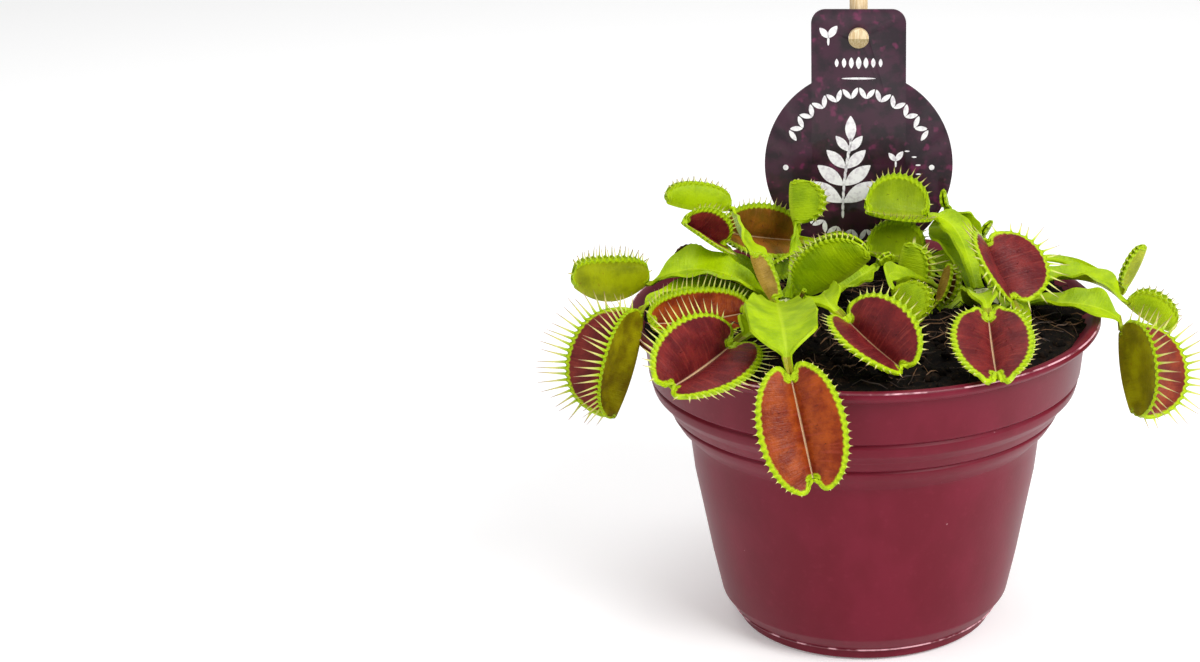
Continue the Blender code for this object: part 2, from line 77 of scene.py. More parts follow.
class Shading:
    """A material under construction: short calls for the arithmetic and patterns that the finishes share."""

    def __init__(self, name: str) -> None:
        """Start a material that holds a Principled BSDF and its output."""
        self.material = bpy.data.materials.new(name)
        self.material.use_nodes = True
        self.tree = self.material.node_tree
        self.shader = self.tree.nodes["Principled BSDF"]

    def feed(self, target: bpy.types.NodeSocket, value: object) -> None:
        """Link a socket into an input, or write a plain value or an sRGB hex colour there."""
        if isinstance(value, bpy.types.NodeSocket):
            self.tree.links.new(value, target)
        else:
            target.default_value = linear(value) if isinstance(value, str) else value

    def node(
        self, kind: str, settings: dict[str, str] | None = None, inputs: dict[str | int, object] | None = None
    ) -> bpy.types.Node:
        """Add one shader node.

        Args:
            kind: The node's Blender type name.
            settings: Attributes to set on the node itself.
            inputs: What to feed its inputs, by input name or number.

        Returns:
            The new node.
        """
        made = self.tree.nodes.new(kind)
        for name, value in (settings or {}).items():
            setattr(made, name, value)
        for name, value in (inputs or {}).items():
            self.feed(made.inputs[name], value)
        return made

    def math(self, operation: str, first: Level, second: Level | None = None) -> bpy.types.NodeSocket:
        """Combine two numbers or sockets.

        Args:
            operation: The Math node's operation.
            first: A socket or a number.
            second: A socket or a number, or None for a one-input operation.

        Returns:
            The result's socket.
        """
        inputs = {0: first} if second is None else {0: first, 1: second}
        return self.node("ShaderNodeMath", {"operation": operation}, inputs).outputs[0]

    def ramp_between(self, value: bpy.types.NodeSocket, low: float, high: float) -> bpy.types.NodeSocket:
        """Ease a value from 0 at low to 1 at high.

        Args:
            value: The socket to read.
            low: Where the result is 0.
            high: Where the result is 1. It may be below low.

        Returns:
            The eased share's socket.
        """
        inputs = {"Value": value, "From Min": low, "From Max": high}
        made = self.node("ShaderNodeMapRange", {"interpolation_type": "SMOOTHSTEP"}, inputs)
        return made.outputs["Result"]

    def mix(self, share: Level, first: Colour, second: Colour) -> bpy.types.NodeSocket:
        """Mix two colours.

        Args:
            share: How much of the second colour, as a socket or a number.
            first: A colour socket or an sRGB hex colour.
            second: A colour socket or an sRGB hex colour.

        Returns:
            The mixed colour's socket.
        """
        made = self.node("ShaderNodeMix", {"data_type": "RGBA"}, {0: share, 6: first, 7: second})
        return made.outputs[2]

    def place(self) -> bpy.types.NodeSocket:
        """Object coordinates, in metres."""
        return self.node("ShaderNodeTexCoord").outputs["Object"]

    def axes(self, name: str) -> bpy.types.NodeOutputs:
        """The two axes of one of the leaf's UV maps."""
        uv = self.node("ShaderNodeUVMap", {"uv_map": name}).outputs["UV"]
        return self.node("ShaderNodeSeparateXYZ", inputs={"Vector": uv}).outputs

    def stretched(self, scale: tuple[float, float, float]) -> bpy.types.NodeSocket:
        """Object coordinates scaled along each axis."""
        made = self.node("ShaderNodeMapping", inputs={"Scale": scale, "Vector": self.place()})
        return made.outputs["Vector"]

    def grain(
        self,
        size_mm: float,
        detail: float = 3.0,
        rough: float = 0.5,
        vector: bpy.types.NodeSocket | None = None,
    ) -> bpy.types.NodeSocket:
        """Noise whose blotches are about size_mm across.

        Args:
            size_mm: The size of one blotch, in millimetres.
            detail: The noise's octaves.
            rough: How strong the finer octaves are.
            vector: Coordinates to read in place of the object's own.

        Returns:
            A socket of values round a half.
        """
        scale = 1.0 / (size_mm * MM)
        inputs = {"Scale": scale, "Detail": detail, "Roughness": rough, "Vector": vector or self.place()}
        return self.node("ShaderNodeTexNoise", inputs=inputs).outputs["Fac"]

    def patches(
        self, value: bpy.types.NodeSocket, low: float, high: float, most: float
    ) -> bpy.types.NodeSocket:
        """Ease a value between low and high into a share that goes no further than most.

        Args:
            value: The socket to read.
            low: Where the share is 0.
            high: Where the share is at its most.
            most: The largest share.

        Returns:
            The share's socket.
        """
        return self.math("MULTIPLY", self.ramp_between(value, low, high), most)

    def rough(self, pattern: bpy.types.NodeSocket, least: float, spread: float) -> None:
        """Set the roughness: least where the pattern is 0, and spread more where it is 1."""
        self.set("Roughness", self.math("ADD", self.math("MULTIPLY", pattern, spread), least))

    def bump(self, height: bpy.types.NodeSocket, depth_mm: float) -> None:
        """Press a height pattern into the surface."""
        made = self.node("ShaderNodeBump", inputs={"Distance": depth_mm * MM, "Height": height})
        self.set("Normal", made.outputs["Normal"])

    def set(self, name: str, value: object) -> None:
        """Feed one input of the shader."""
        self.feed(self.shader.inputs[name], value)


@dataclass(frozen=True)
class MouldedPolypropylene:
    """Injection-moulded polypropylene: satin and a little waxy, with faint flow marks and orange peel."""

    deep: str = "#641424"
    main: str = "#6c182a"
    light: str = "#82283a"
    speck: str = "#b98a90"
    flow_mm: float = 9.0
    peel_mm: float = 0.5

    def make(self) -> bpy.types.Material:
        """Build the material."""
        look = Shading("moulded_polypropylene")
        flow = look.grain(self.flow_mm, 3.0, 0.55, look.stretched((1.0, 1.0, 0.55)))
        fine = look.grain(1.4, 2.0)
        colour = look.mix(look.ramp_between(flow, 0.36, 0.66), self.deep, self.main)
        colour = look.mix(look.patches(fine, 0.55, 0.8, 0.18), colour, self.light)
        specks = look.ramp_between(look.grain(1.1, 1.0), 0.82, 0.85)
        colour = look.mix(look.math("MULTIPLY", specks, 0.5), colour, self.speck)
        look.set("Base Color", colour)
        look.rough(flow, 0.34, 0.08)
        look.set("IOR", 1.49)
        look.set("Specular IOR Level", 0.14)
        look.bump(look.grain(self.peel_mm, 1.0), 0.010)
        return look.material


@dataclass(frozen=True)
class PaleMouldLines:
    """The raised mould lines, pale pink in broken stretches; round the lip's outer edge the pale stretches
    are a painted highlight.
    """

    plastic: str = "#6d1f2e"
    pale_stretches: str = "#d8a3ac"

    def make(self) -> bpy.types.Material:
        """Build the material."""
        look = Shading("pale_mould_lines")
        # Pale pink in broken stretches: a painted highlight on the lip's line, and pale marks on the foot's
        # line.
        pale_share = look.ramp_between(look.grain(5.0, 3.0, 0.6), 0.42, 0.54)
        look.set("Base Color", look.mix(pale_share, self.plastic, self.pale_stretches))
        look.rough(pale_share, 0.35, 0.2)
        return look.material


@dataclass(frozen=True)
class Peat:
    """Moist sphagnum peat: nearly black, matt, with brown crumbs that catch a little light."""

    dark: str = "#0e0b09"
    brown: str = "#2a1d14"
    tan: str = "#6a4c33"

    def make(self) -> bpy.types.Material:
        """Build the material."""
        look = Shading("sphagnum_peat")
        crumbs = look.grain(1.6, 5.0, 0.62)
        colour = look.mix(look.ramp_between(crumbs, 0.45, 0.72), self.dark, self.brown)
        colour = look.mix(look.patches(look.grain(0.5, 2.0), 0.64, 0.78, 0.5), colour, self.tan)
        look.set("Base Color", colour)
        look.rough(crumbs, 0.65, 0.3)
        look.set("Specular IOR Level", 0.08)
        look.bump(look.grain(0.8, 6.0, 0.7), 0.6)
        return look.material


@dataclass(frozen=True)
class PeatFibre:
    """Dry moss and root fibres: thin, brown and straw-coloured threads on the peat."""

    brown: str = "#2a1c12"
    straw: str = "#7a5636"

    def make(self) -> bpy.types.Material:
        """Build the material."""
        look = Shading("peat_fibre")
        strands = look.ramp_between(look.grain(5.0, 2.0), 0.42, 0.6)
        look.set("Base Color", look.mix(strands, self.brown, self.straw))
        look.rough(look.grain(0.6), 0.6, 0.2)
        return look.material


@dataclass(frozen=True)
class LeafTissue:
    """Living leaf: satin, a little translucent, with a pale midrib, fine side veins and a stained trap.

    The "LeafPlan" UV map holds the place across the leaf and along it, and "MarginPlan" the distance from
    the trap's margin in millimetres and the count of teeth along it. The "stain" attribute holds how red the
    trap is inside, how olive the outside is, how rusty the red is and, as its alpha, how far a red blush
    covers the outside.
    """

    name: str
    upper: bool
    fresh: str = "#a8c404"
    deep: str = "#83a104"
    pale: str = "#bcd22c"
    margin: str = "#aac60a"
    # Painted shade: the darker green between the beads on the trap's margin.
    between: str = "#6b8806"
    # Painted shade: the darker green that a trap's inner face is mixed towards.
    shade: str = "#667c04"
    olive: str = "#968a05"
    brown: str = "#6a5406"
    maroon: str = "#581519"
    wine: str = "#782422"
    rust: str = "#6e220b"
    amber: str = "#9a4413"
    midrib: str = "#dcc09a"
    speck: str = "#3c3a10"
    red_vein: str = "#a8483a"
    gland: str = "#3a0a10"
    blush_dark: str = "#7c3420"
    blush_light: str = "#a4603a"
    spot: str = "#7a3a10"
    band_mm: float = 0.85

    def make(self) -> bpy.types.Material:
        """Build the material."""
        look = Shading(self.name)
        plan = look.axes("LeafPlan")
        by_margin = look.axes("MarginPlan")
        across = look.math("ABSOLUTE", look.math("SUBTRACT", look.math("MULTIPLY", plan["X"], 2.0), 1.0))
        in_trap = look.ramp_between(plan["Y"], 0.985, 1.015)
        stain = look.node("ShaderNodeAttribute", {"attribute_name": "stain"}).outputs
        tone = look.node("ShaderNodeSeparateColor", inputs={"Color": stain["Color"]}).outputs
        blotch = look.grain(4.5, 4.0, 0.55)
        fine = look.grain(0.45, 2.0, 0.6)
        # The streaks' coordinates are not lengths, so their noise is one unit across.
        veins = look.grain(1.0 / MM, 3.0, 0.55, self.streaks(look, plan))

        green = look.mix(look.ramp_between(blotch, 0.30, 0.66), self.deep, self.fresh)
        green = look.mix(look.patches(veins, 0.5, 0.75, 0.15), green, self.pale)
        vein = look.ramp_between(across, 0.09, 0.02)
        green = look.mix(look.math("MULTIPLY", vein, 0.45), green, self.pale)
        specks = look.ramp_between(look.grain(0.9, 1.0), 0.80, 0.84)
        green = look.mix(look.math("MULTIPLY", specks, 0.6), green, self.speck)

        # The margin's beads: the bump raises a scallop at each tooth, and the colour paints the gaps between
        # the teeth a darker green as painted shade, so the lime beads read as painted highlights.
        bead = look.math("COSINE", look.math("MULTIPLY", by_margin["Y"], 2 * pi))
        bead = look.math("SUBTRACT", 0.5, look.math("MULTIPLY", bead, 0.5))
        edge = look.math("ADD", by_margin["X"], look.math("MULTIPLY", look.math("SUBTRACT", fine, 0.5), 0.5))
        band = self.band_mm if self.upper else self.band_mm * 0.55
        rim = look.ramp_between(edge, band + 0.25, band - 0.15)
        bead_gap_shade = look.math("MULTIPLY", look.math("SUBTRACT", 1.0, bead), look.ramp_between(edge, 0.75, 0.0))
        bead_gap_shade = look.math("MULTIPLY", bead_gap_shade, 0.75 if self.upper else 0.4)
        lime = look.mix(bead_gap_shade, self.margin, self.between)
        if self.upper:
            face = self.inside(look, green, tone, veins, fine)
        else:
            face = self.outside(look, green, tone, stain["Alpha"], blotch)
        trap = look.mix(rim, face, lime)
        if self.upper:
            midrib = look.patches(across, 0.034, 0.012, 0.8)
            trap = look.mix(look.math("MULTIPLY", midrib, tone["Red"]), trap, self.midrib)
        look.set("Base Color", look.mix(in_trap, green, trap))
        look.rough(fine, 0.27 if self.upper else 0.32, 0.20)
        look.set("Specular IOR Level", 0.16)
        look.set("Subsurface Weight", 0.10)
        look.set("Subsurface Radius", (1.0, 0.9, 0.2))
        look.set("Subsurface Scale", 0.0012)
        height = look.math("ADD", look.math("MULTIPLY", veins, 0.9), look.math("MULTIPLY", fine, 0.5))
        beaded = look.math("MULTIPLY", look.math("MULTIPLY", bead, rim), 1.3)
        look.bump(look.math("ADD", height, beaded), 0.16)
        return look.material

    @staticmethod
    def streaks(look: Shading, plan: bpy.types.NodeOutputs) -> bpy.types.NodeSocket:
        """Coordinates that draw a noise out into veins that run from the midrib to the margin."""
        ways = {"X": look.math("MULTIPLY", plan["X"], 3.0), "Y": look.math("MULTIPLY", plan["Y"], 42.0)}
        return look.node("ShaderNodeCombineXYZ", inputs=ways).outputs["Vector"]

    def inside(
        self,
        look: Shading,
        green: bpy.types.NodeSocket,
        tone: bpy.types.NodeOutputs,
        veins: bpy.types.NodeSocket,
        fine: bpy.types.NodeSocket,
    ) -> bpy.types.NodeSocket:
        """Colour the trap's inner face: a green darkened towards shade as painted shade, stained maroon or
        rust red.

        Args:
            look: The material being built.
            green: The green tissue's colour.
            tone: The stain attribute's channels.
            veins: The side veins' noise.
            fine: Fine noise.

        Returns:
            The colour's socket.
        """
        cloud = look.ramp_between(look.grain(3.4, 4.0, 0.6), 0.34, 0.70)
        red = look.mix(cloud, self.maroon, self.wine)
        rusty = look.mix(cloud, self.rust, self.amber)
        red = look.mix(tone["Blue"], red, rusty)
        red = look.mix(look.patches(veins, 0.52, 0.72, 0.28), red, self.red_vein)
        red = look.mix(look.patches(fine, 0.62, 0.76, 0.45), red, self.gland)
        # The green inner face is mixed 28% towards shade: painted shade in the trap's hollow.
        return look.mix(tone["Red"], look.mix(0.28, green, self.shade), red)

    def outside(
        self,
        look: Shading,
        green: bpy.types.NodeSocket,
        tone: bpy.types.NodeOutputs,
        blush: bpy.types.NodeSocket,
        blotch: bpy.types.NodeSocket,
    ) -> bpy.types.NodeSocket:
        """Colour the trap's outer face: lime, turning olive on old traps, some with a red blush.

        Args:
            look: The material being built.
            green: The green tissue's colour.
            tone: The stain attribute's channels.
            blush: How far the red blush covers it.
            blotch: Broad noise.

        Returns:
            The colour's socket.
        """
        old = look.mix(look.ramp_between(blotch, 0.34, 0.66), self.brown, self.olive)
        trap = look.mix(tone["Green"], green, old)
        flush = look.mix(look.ramp_between(blotch, 0.35, 0.65), self.blush_dark, self.blush_light)
        spots = look.ramp_between(look.grain(0.8, 1.0), 0.72, 0.78)
        trap = look.mix(look.math("MULTIPLY", spots, 0.35), trap, self.spot)
        return look.mix(blush, trap, flush)


@dataclass(frozen=True)
class WitheredTissue:
    """Dead, shrivelled leaf: matt, nearly black brown with ochre ridges."""

    dark: str = "#2a1a10"
    ochre: str = "#7a5224"
    stain: str = "#4c1c18"

    def make(self) -> bpy.types.Material:
        """Build the material."""
        look = Shading("withered_leaf")
        ridges = look.grain(1.3, 4.0, 0.65)
        colour = look.mix(look.ramp_between(ridges, 0.38, 0.70), self.dark, self.ochre)
        look.set("Base Color", look.mix(look.math("MULTIPLY", look.grain(3.0), 0.3), colour, self.stain))
        look.rough(ridges, 0.6, 0.2)
        look.set("Specular IOR Level", 0.2)
        look.bump(ridges, 0.5)
        return look.material


@dataclass(frozen=True)
class ToothTissue:
    """Marginal teeth: lime at the margin, straw further out and dusky at the tip; trigger hairs red."""

    lime: str = "#a9c816"
    straw: str = "#d3cf7c"
    dusky: str = "#8e6a5c"
    mottle: str = "#98a040"
    trigger: str = "#4a1a16"

    def make(self) -> bpy.types.Material:
        """Build the material."""
        look = Shading("tooth_tissue")
        reach = look.axes("LeafPlan")["Y"]
        colour = look.mix(look.ramp_between(reach, 0.0, 0.40), self.lime, self.straw)
        colour = look.mix(look.ramp_between(reach, 0.40, 1.0), colour, self.dusky)
        colour = look.mix(look.math("MULTIPLY", look.grain(0.8), 0.15), colour, self.mottle)
        colour = look.mix(look.ramp_between(reach, 1.5, 1.6), colour, self.trigger)
        look.set("Base Color", colour)
        look.rough(look.grain(0.5), 0.35, 0.1)
        look.set("Specular IOR Level", 0.3)
        look.set("Subsurface Weight", 0.12)
        look.set("Subsurface Scale", 0.0006)
        return look.material


@dataclass(frozen=True)
class RhizomeTissue:
    """Pale scaly leaf bases of the rhizome: cream to pink-green, matt, with lengthwise streaks."""

    green: str = "#8f9a52"
    cream: str = "#cfcf9c"
    pink: str = "#a2605a"

    def make(self) -> bpy.types.Material:
        """Build the material."""
        look = Shading("rhizome_tissue")
        streak = look.grain(1.2, 3.0, 0.6, look.stretched((1.0, 1.0, 0.25)))
        colour = look.mix(look.ramp_between(streak, 0.35, 0.65), self.green, self.cream)
        colour = look.mix(look.patches(look.grain(2.0), 0.55, 0.75, 0.6), colour, self.pink)
        look.set("Base Color", colour)
        look.rough(streak, 0.5, 0.2)
        look.bump(streak, 0.15)
        return look.material


@dataclass(frozen=True)
class PrintedCard:
    """Gloss-laminated card printed edge to edge: nearly black plum with soft magenta blotches."""

    ground: str = "#1f0b1a"
    plum: str = "#3a142b"
    magenta: str = "#651f45"
    blotch_mm: float = 3.4

    def make(self) -> bpy.types.Material:
        """Build the material."""
        look = Shading("laminated_card")
        cloud = look.grain(self.blotch_mm, 3.0, 0.55)
        colour = look.mix(look.ramp_between(cloud, 0.38, 0.62), self.ground, self.plum)
        colour = look.mix(look.ramp_between(look.grain(2.2, 2.0, 0.5), 0.58, 0.76), colour, self.magenta)
        look.set("Base Color", colour)
        look.rough(look.grain(6.0), 0.26, 0.1)
        look.set("Coat Weight", 0.2)
        look.bump(look.grain(0.4, 2.0), 0.004)
        return look.material


@dataclass(frozen=True)
class WhiteInk:
    """Opaque white print: flat and faintly uneven, so it doesn't read as paper."""

    white: str = "#f4f2f3"
    worn: str = "#d8d2d8"

    def make(self) -> bpy.types.Material:
        """Build the material."""
        look = Shading("white_ink")
        look.set("Base Color", look.mix(look.ramp_between(look.grain(0.8), 0.4, 0.7), self.white, self.worn))
        look.rough(look.grain(2.0), 0.3, 0.1)
        return look.material


@dataclass(frozen=True)
class Birch:
    """Plain turned birch: cream, matt, with fine grain lines that run up the stick."""

    light: str = "#ead9b6"
    line: str = "#c7a878"
    shade: str = "#b08f60"
    grain_mm: float = 0.35

    def make(self) -> bpy.types.Material:
        """Build the material."""
        look = Shading("turned_birch")
        lines = look.grain(self.grain_mm, 4.0, 0.65, look.stretched((1.0, 1.0, 0.05)))
        colour = look.mix(look.ramp_between(lines, 0.35, 0.68), self.line, self.light)
        colour = look.mix(look.patches(look.grain(6.0), 0.5, 0.7, 0.3), colour, self.shade)
        look.set("Base Color", colour)
        look.rough(lines, 0.5, 0.2)
        look.bump(lines, 0.05)
        return look.material


# ----------------------------------------------------------------------------------------------------------
# Modelling helpers


def start_alone() -> None:
    """Leave edit mode and deselect everything."""
    if bpy.context.mode != "OBJECT":
        bpy.ops.object.mode_set(mode="OBJECT")
    bpy.ops.object.select_all(action="DESELECT")


def take(obj: bpy.types.Object) -> bpy.types.Object:
    """Make obj the only selected and the active object."""
    start_alone()
    obj.select_set(True)
    bpy.context.view_layer.objects.active = obj
    return obj


def named(name: str) -> bpy.types.Object:
    """Name the object that an operator has just added."""
    made = bpy.context.active_object
    made.name = name
    made.data.name = name
    return made


def settle(obj: bpy.types.Object) -> bpy.types.Object:
    """Put the object's place into its mesh."""
    take(obj)
    bpy.ops.object.transform_apply(location=True, rotation=True, scale=True)
    return obj


def with_modifier(obj: bpy.types.Object, kind: str, **settings: object) -> None:
    """Add a modifier, set it up and apply it.

    Args:
        obj: The object to change.
        kind: The modifier's type.
        settings: Attributes to set on the modifier.
    """
    take(obj)
    step = obj.modifiers.new(kind.lower(), kind)
    for name, value in settings.items():
        setattr(step, name, value)
    bpy.ops.object.modifier_apply(modifier=step.name)


def round_edges(obj: bpy.types.Object, angle: float, width: float, segments: int) -> None:
    """Bevel the edges that are sharper than an angle in degrees, by a width in millimetres."""
    with_modifier(
        obj, "BEVEL", limit_method="ANGLE", angle_limit=radians(angle), width=width * MM, segments=segments
    )


def edit_all(obj: bpy.types.Object) -> None:
    """Open the object's mesh in edit mode with everything selected."""
    take(obj)
    bpy.ops.object.mode_set(mode="EDIT")
    bpy.ops.mesh.select_all(action="SELECT")


def dress(obj: bpy.types.Object, *finishes: bpy.types.Material) -> None:
    """Give the object its materials, in slot order."""
    obj.data.materials.clear()
    for finish in finishes:
        obj.data.materials.append(finish)


def hand_over(obj: bpy.types.Object, angle: float, slot: str, *nodes: str) -> None:
    """Shade a finished piece, fix it to the object's body and hide the CAD nodes that it stands for.

    Args:
        obj: The finished piece.
        angle: Edges sharper than this many degrees stay crisp.
        slot: The record's material slot. It is not used.
        nodes: The CAD nodes that it replaces.
    """
    take(obj)
    bpy.ops.object.shade_smooth_by_angle(angle=radians(angle))
    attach(obj, ROOT)
    if nodes:
        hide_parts(*nodes)
    LOG.info("%s: %d faces", obj.name, len(obj.data.polygons))


def boolean(obj: bpy.types.Object, cutter: bpy.types.Object, operation: str = "DIFFERENCE") -> None:
    """Cut or join with another solid, which is then removed."""
    with_modifier(obj, "BOOLEAN", operation=operation, solver="EXACT", object=cutter)
    bpy.data.objects.remove(cutter, do_unlink=True)


def eased(low: float, high: float, value: float) -> float:
    """A smooth step from 0 at low to 1 at high."""
    share = min(max((value - low) / (high - low), 0.0), 1.0)
    return share * share * (3 - 2 * share)


def extrude_rings(rings: list[tuple[float, float]]) -> None:
    """Extrude the selected round loop, which is the first ring, through the others.

    Args:
        rings: Radius and height of each ring about the Z axis, in millimetres.
    """
    for (radius, height), (next_radius, next_height) in zip(rings, rings[1:]):
        rise = (next_height - height) * MM
        bpy.ops.mesh.extrude_region_move(TRANSFORM_OT_translate={"value": (0.0, 0.0, rise)})
        factor = next_radius / radius
        if factor != 1.0:
            bpy.ops.transform.resize(value=(factor, factor, 1.0), center_override=(0.0, 0.0, 0.0))


def turned(name: str, rings: list[tuple[float, float]], sides: int) -> bpy.types.Object:
    """Model a closed round piece by raising a circle through its rings and filling both ends.

    Args:
        name: The piece's name.
        rings: Radius and height of each ring, in millimetres, from one end to the other.
        sides: How many sides the circle has.

    Returns:
        The piece, with its faces pointing outwards.
    """
    start_alone()
    radius, height = rings[0]
    bpy.ops.mesh.primitive_circle_add(
        vertices=sides, radius=radius * MM, location=(0.0, 0.0, height * MM), fill_type="NGON"
    )
    obj = settle(named(name))
    edit_all(obj)
    bpy.ops.mesh.duplicate()
    extrude_rings(rings)
    bpy.ops.mesh.select_all(action="SELECT")
    bpy.ops.mesh.remove_doubles(threshold=0.00001)
    bpy.ops.mesh.normals_make_consistent(inside=False)
    bpy.ops.object.mode_set(mode="OBJECT")
    return obj


def block(
    name: str, size: tuple[float, float, float], centre: tuple[float, float, float]
) -> bpy.types.Object:
    """Add a box by its size and centre, in millimetres."""
    start_alone()
    bpy.ops.mesh.primitive_cube_add(size=1.0, location=Vector(centre) * MM)
    obj = named(name)
    obj.scale = Vector(size) * MM
    return settle(obj)


def rod(name: str, radius: float, length: float, place: Matrix, sides: int) -> bpy.types.Object:
    """Add a round rod along its place's own Z axis.

    Args:
        name: The rod's name.
        radius: The radius, in millimetres.
        length: The length, in millimetres.
        place: The middle and direction, with its shift in millimetres.
        sides: How many sides it has.

    Returns:
        The rod.
    """
    start_alone()
    bpy.ops.mesh.primitive_cylinder_add(vertices=sides, radius=radius * MM, depth=length * MM)
    obj = named(name)
    obj.matrix_world = in_metres(place)
    return settle(obj)


def in_metres(place: Matrix) -> Matrix:
    """A copy of a placement with its shift turned from millimetres into metres."""
    moved = place.copy()
    moved.translation = place.translation * MM
    return moved


def join(pieces: list[bpy.types.Object], name: str) -> bpy.types.Object:
    """Join pieces into the first one and name it."""
    start_alone()
    for piece in pieces:
        piece.select_set(True)
    bpy.context.view_layer.objects.active = pieces[0]
    bpy.ops.object.join()
    return named(name)


def copied(template: bpy.types.Object, place: Matrix) -> bpy.types.Object:
    """Copy a template with its own mesh and put the copy's place, in metres, into that mesh."""
    made = template.copy()
    made.data = template.data.copy()
    made.data.transform(place)
    bpy.context.scene.collection.objects.link(made)
    return made


def discard(*templates: bpy.types.Object) -> None:
    """Remove templates once their copies are made."""
    for template in templates:
        bpy.data.objects.remove(template, do_unlink=True)


# ----------------------------------------------------------------------------------------------------------
# Pot and peat


@dataclass
class NurseryPot:
    """A moulded nursery pot: tapered body, two stepped bands, a flanged lip, a foot ring and drain holes."""

    finish: bpy.types.Material
    line_and_highlight_finish: bpy.types.Material
    sides: int = 168
    foot_radius: float = 24.1
    floor: float = 2.0
    hole_radius: float = 3.2
    hole_ring: float = 15.5
    holes: int = 6
    edge_round: float = 0.28
    bead_radius: float = 0.16
    seam_ring: tuple[float, float] = (26.15, 2.65)
    lip_ring: tuple[float, float] = (44.75, 61.7)

    def outside(self) -> list[tuple[float, float]]:
        """The outside, from the foot up to the lip, with a fine groove under each band."""
        foot = [(self.foot_radius, 0.0), (25.0, 0.4), (25.2, 2.0), (26.1, 2.7), (28.1, 5.5)]
        body = [(29.8, 13.5), (31.9, 25.0), (33.0, 31.0), (33.6, 36.6), (33.9, 38.9), (36.1, 41.2)]
        lower_band = [(37.3, 43.2), (36.8, 43.7), (37.75, 44.2), (38.6, 46.0), (40.5, 47.9)]
        upper_band = [(41.0, 49.8), (40.4, 50.3), (41.28, 50.8), (42.2, 59.2)]
        lip = [(44.2, 59.9), (45.0, 60.8), (44.8, 61.7), (44.2, 62.0)]
        return foot + body + lower_band + upper_band + lip

    def inside(self) -> list[tuple[float, float]]:
        """The inside, from the lip down to the floor."""
        lip = [(43.4, 61.9), (42.4, 61.0), (41.2, 60.2), (40.6, 58.8)]
        wall = [(40.0, 50.4), (36.9, 45.6), (35.7, 42.6), (32.4, 38.4), (28.2, 13.5)]
        return lip + wall + [(26.4, 5.0), (24.8, 2.8), (23.0, self.floor)]

    def build(self) -> None:
        """Model the shell, round its edges, drill the drain holes and dress it."""
        shell = turned("moulded_pot", self.outside() + self.inside(), self.sides)
        round_edges(shell, 16, self.edge_round, 2)
        for hole in range(self.holes):
            angle = 2 * pi * (hole + 0.5) / self.holes
            spot = (self.hole_ring * cos(angle), self.hole_ring * sin(angle), self.floor / 2)
            drill = rod("drain_drill", self.hole_radius, self.floor * 4, Matrix.Translation(spot), 32)
            boolean(shell, drill)
        dress(shell, self.finish)
        # The line round the lip's outer edge carries a painted highlight in its pale stretches.
        piece = join([shell, self.bead(*self.seam_ring), self.bead(*self.lip_ring)], "moulded_pot")
        hand_over(piece, 42.0, "burgundy_polypropylene", "pot")

    def bead(self, radius: float, height: float) -> bpy.types.Object:
        """A fine raised mould line round the pot.

        Args:
            radius: The line's radius, in millimetres.
            height: The line's height, in millimetres.

        Returns:
            The line as a thin ring.
        """
        start_alone()
        bpy.ops.mesh.primitive_torus_add(
            major_radius=radius * MM, minor_radius=self.bead_radius * MM, major_segments=self.sides,
            minor_segments=8, location=(0.0, 0.0, height * MM),
        )
        line = settle(named("mould_line"))
        dress(line, self.line_and_highlight_finish)
        return line


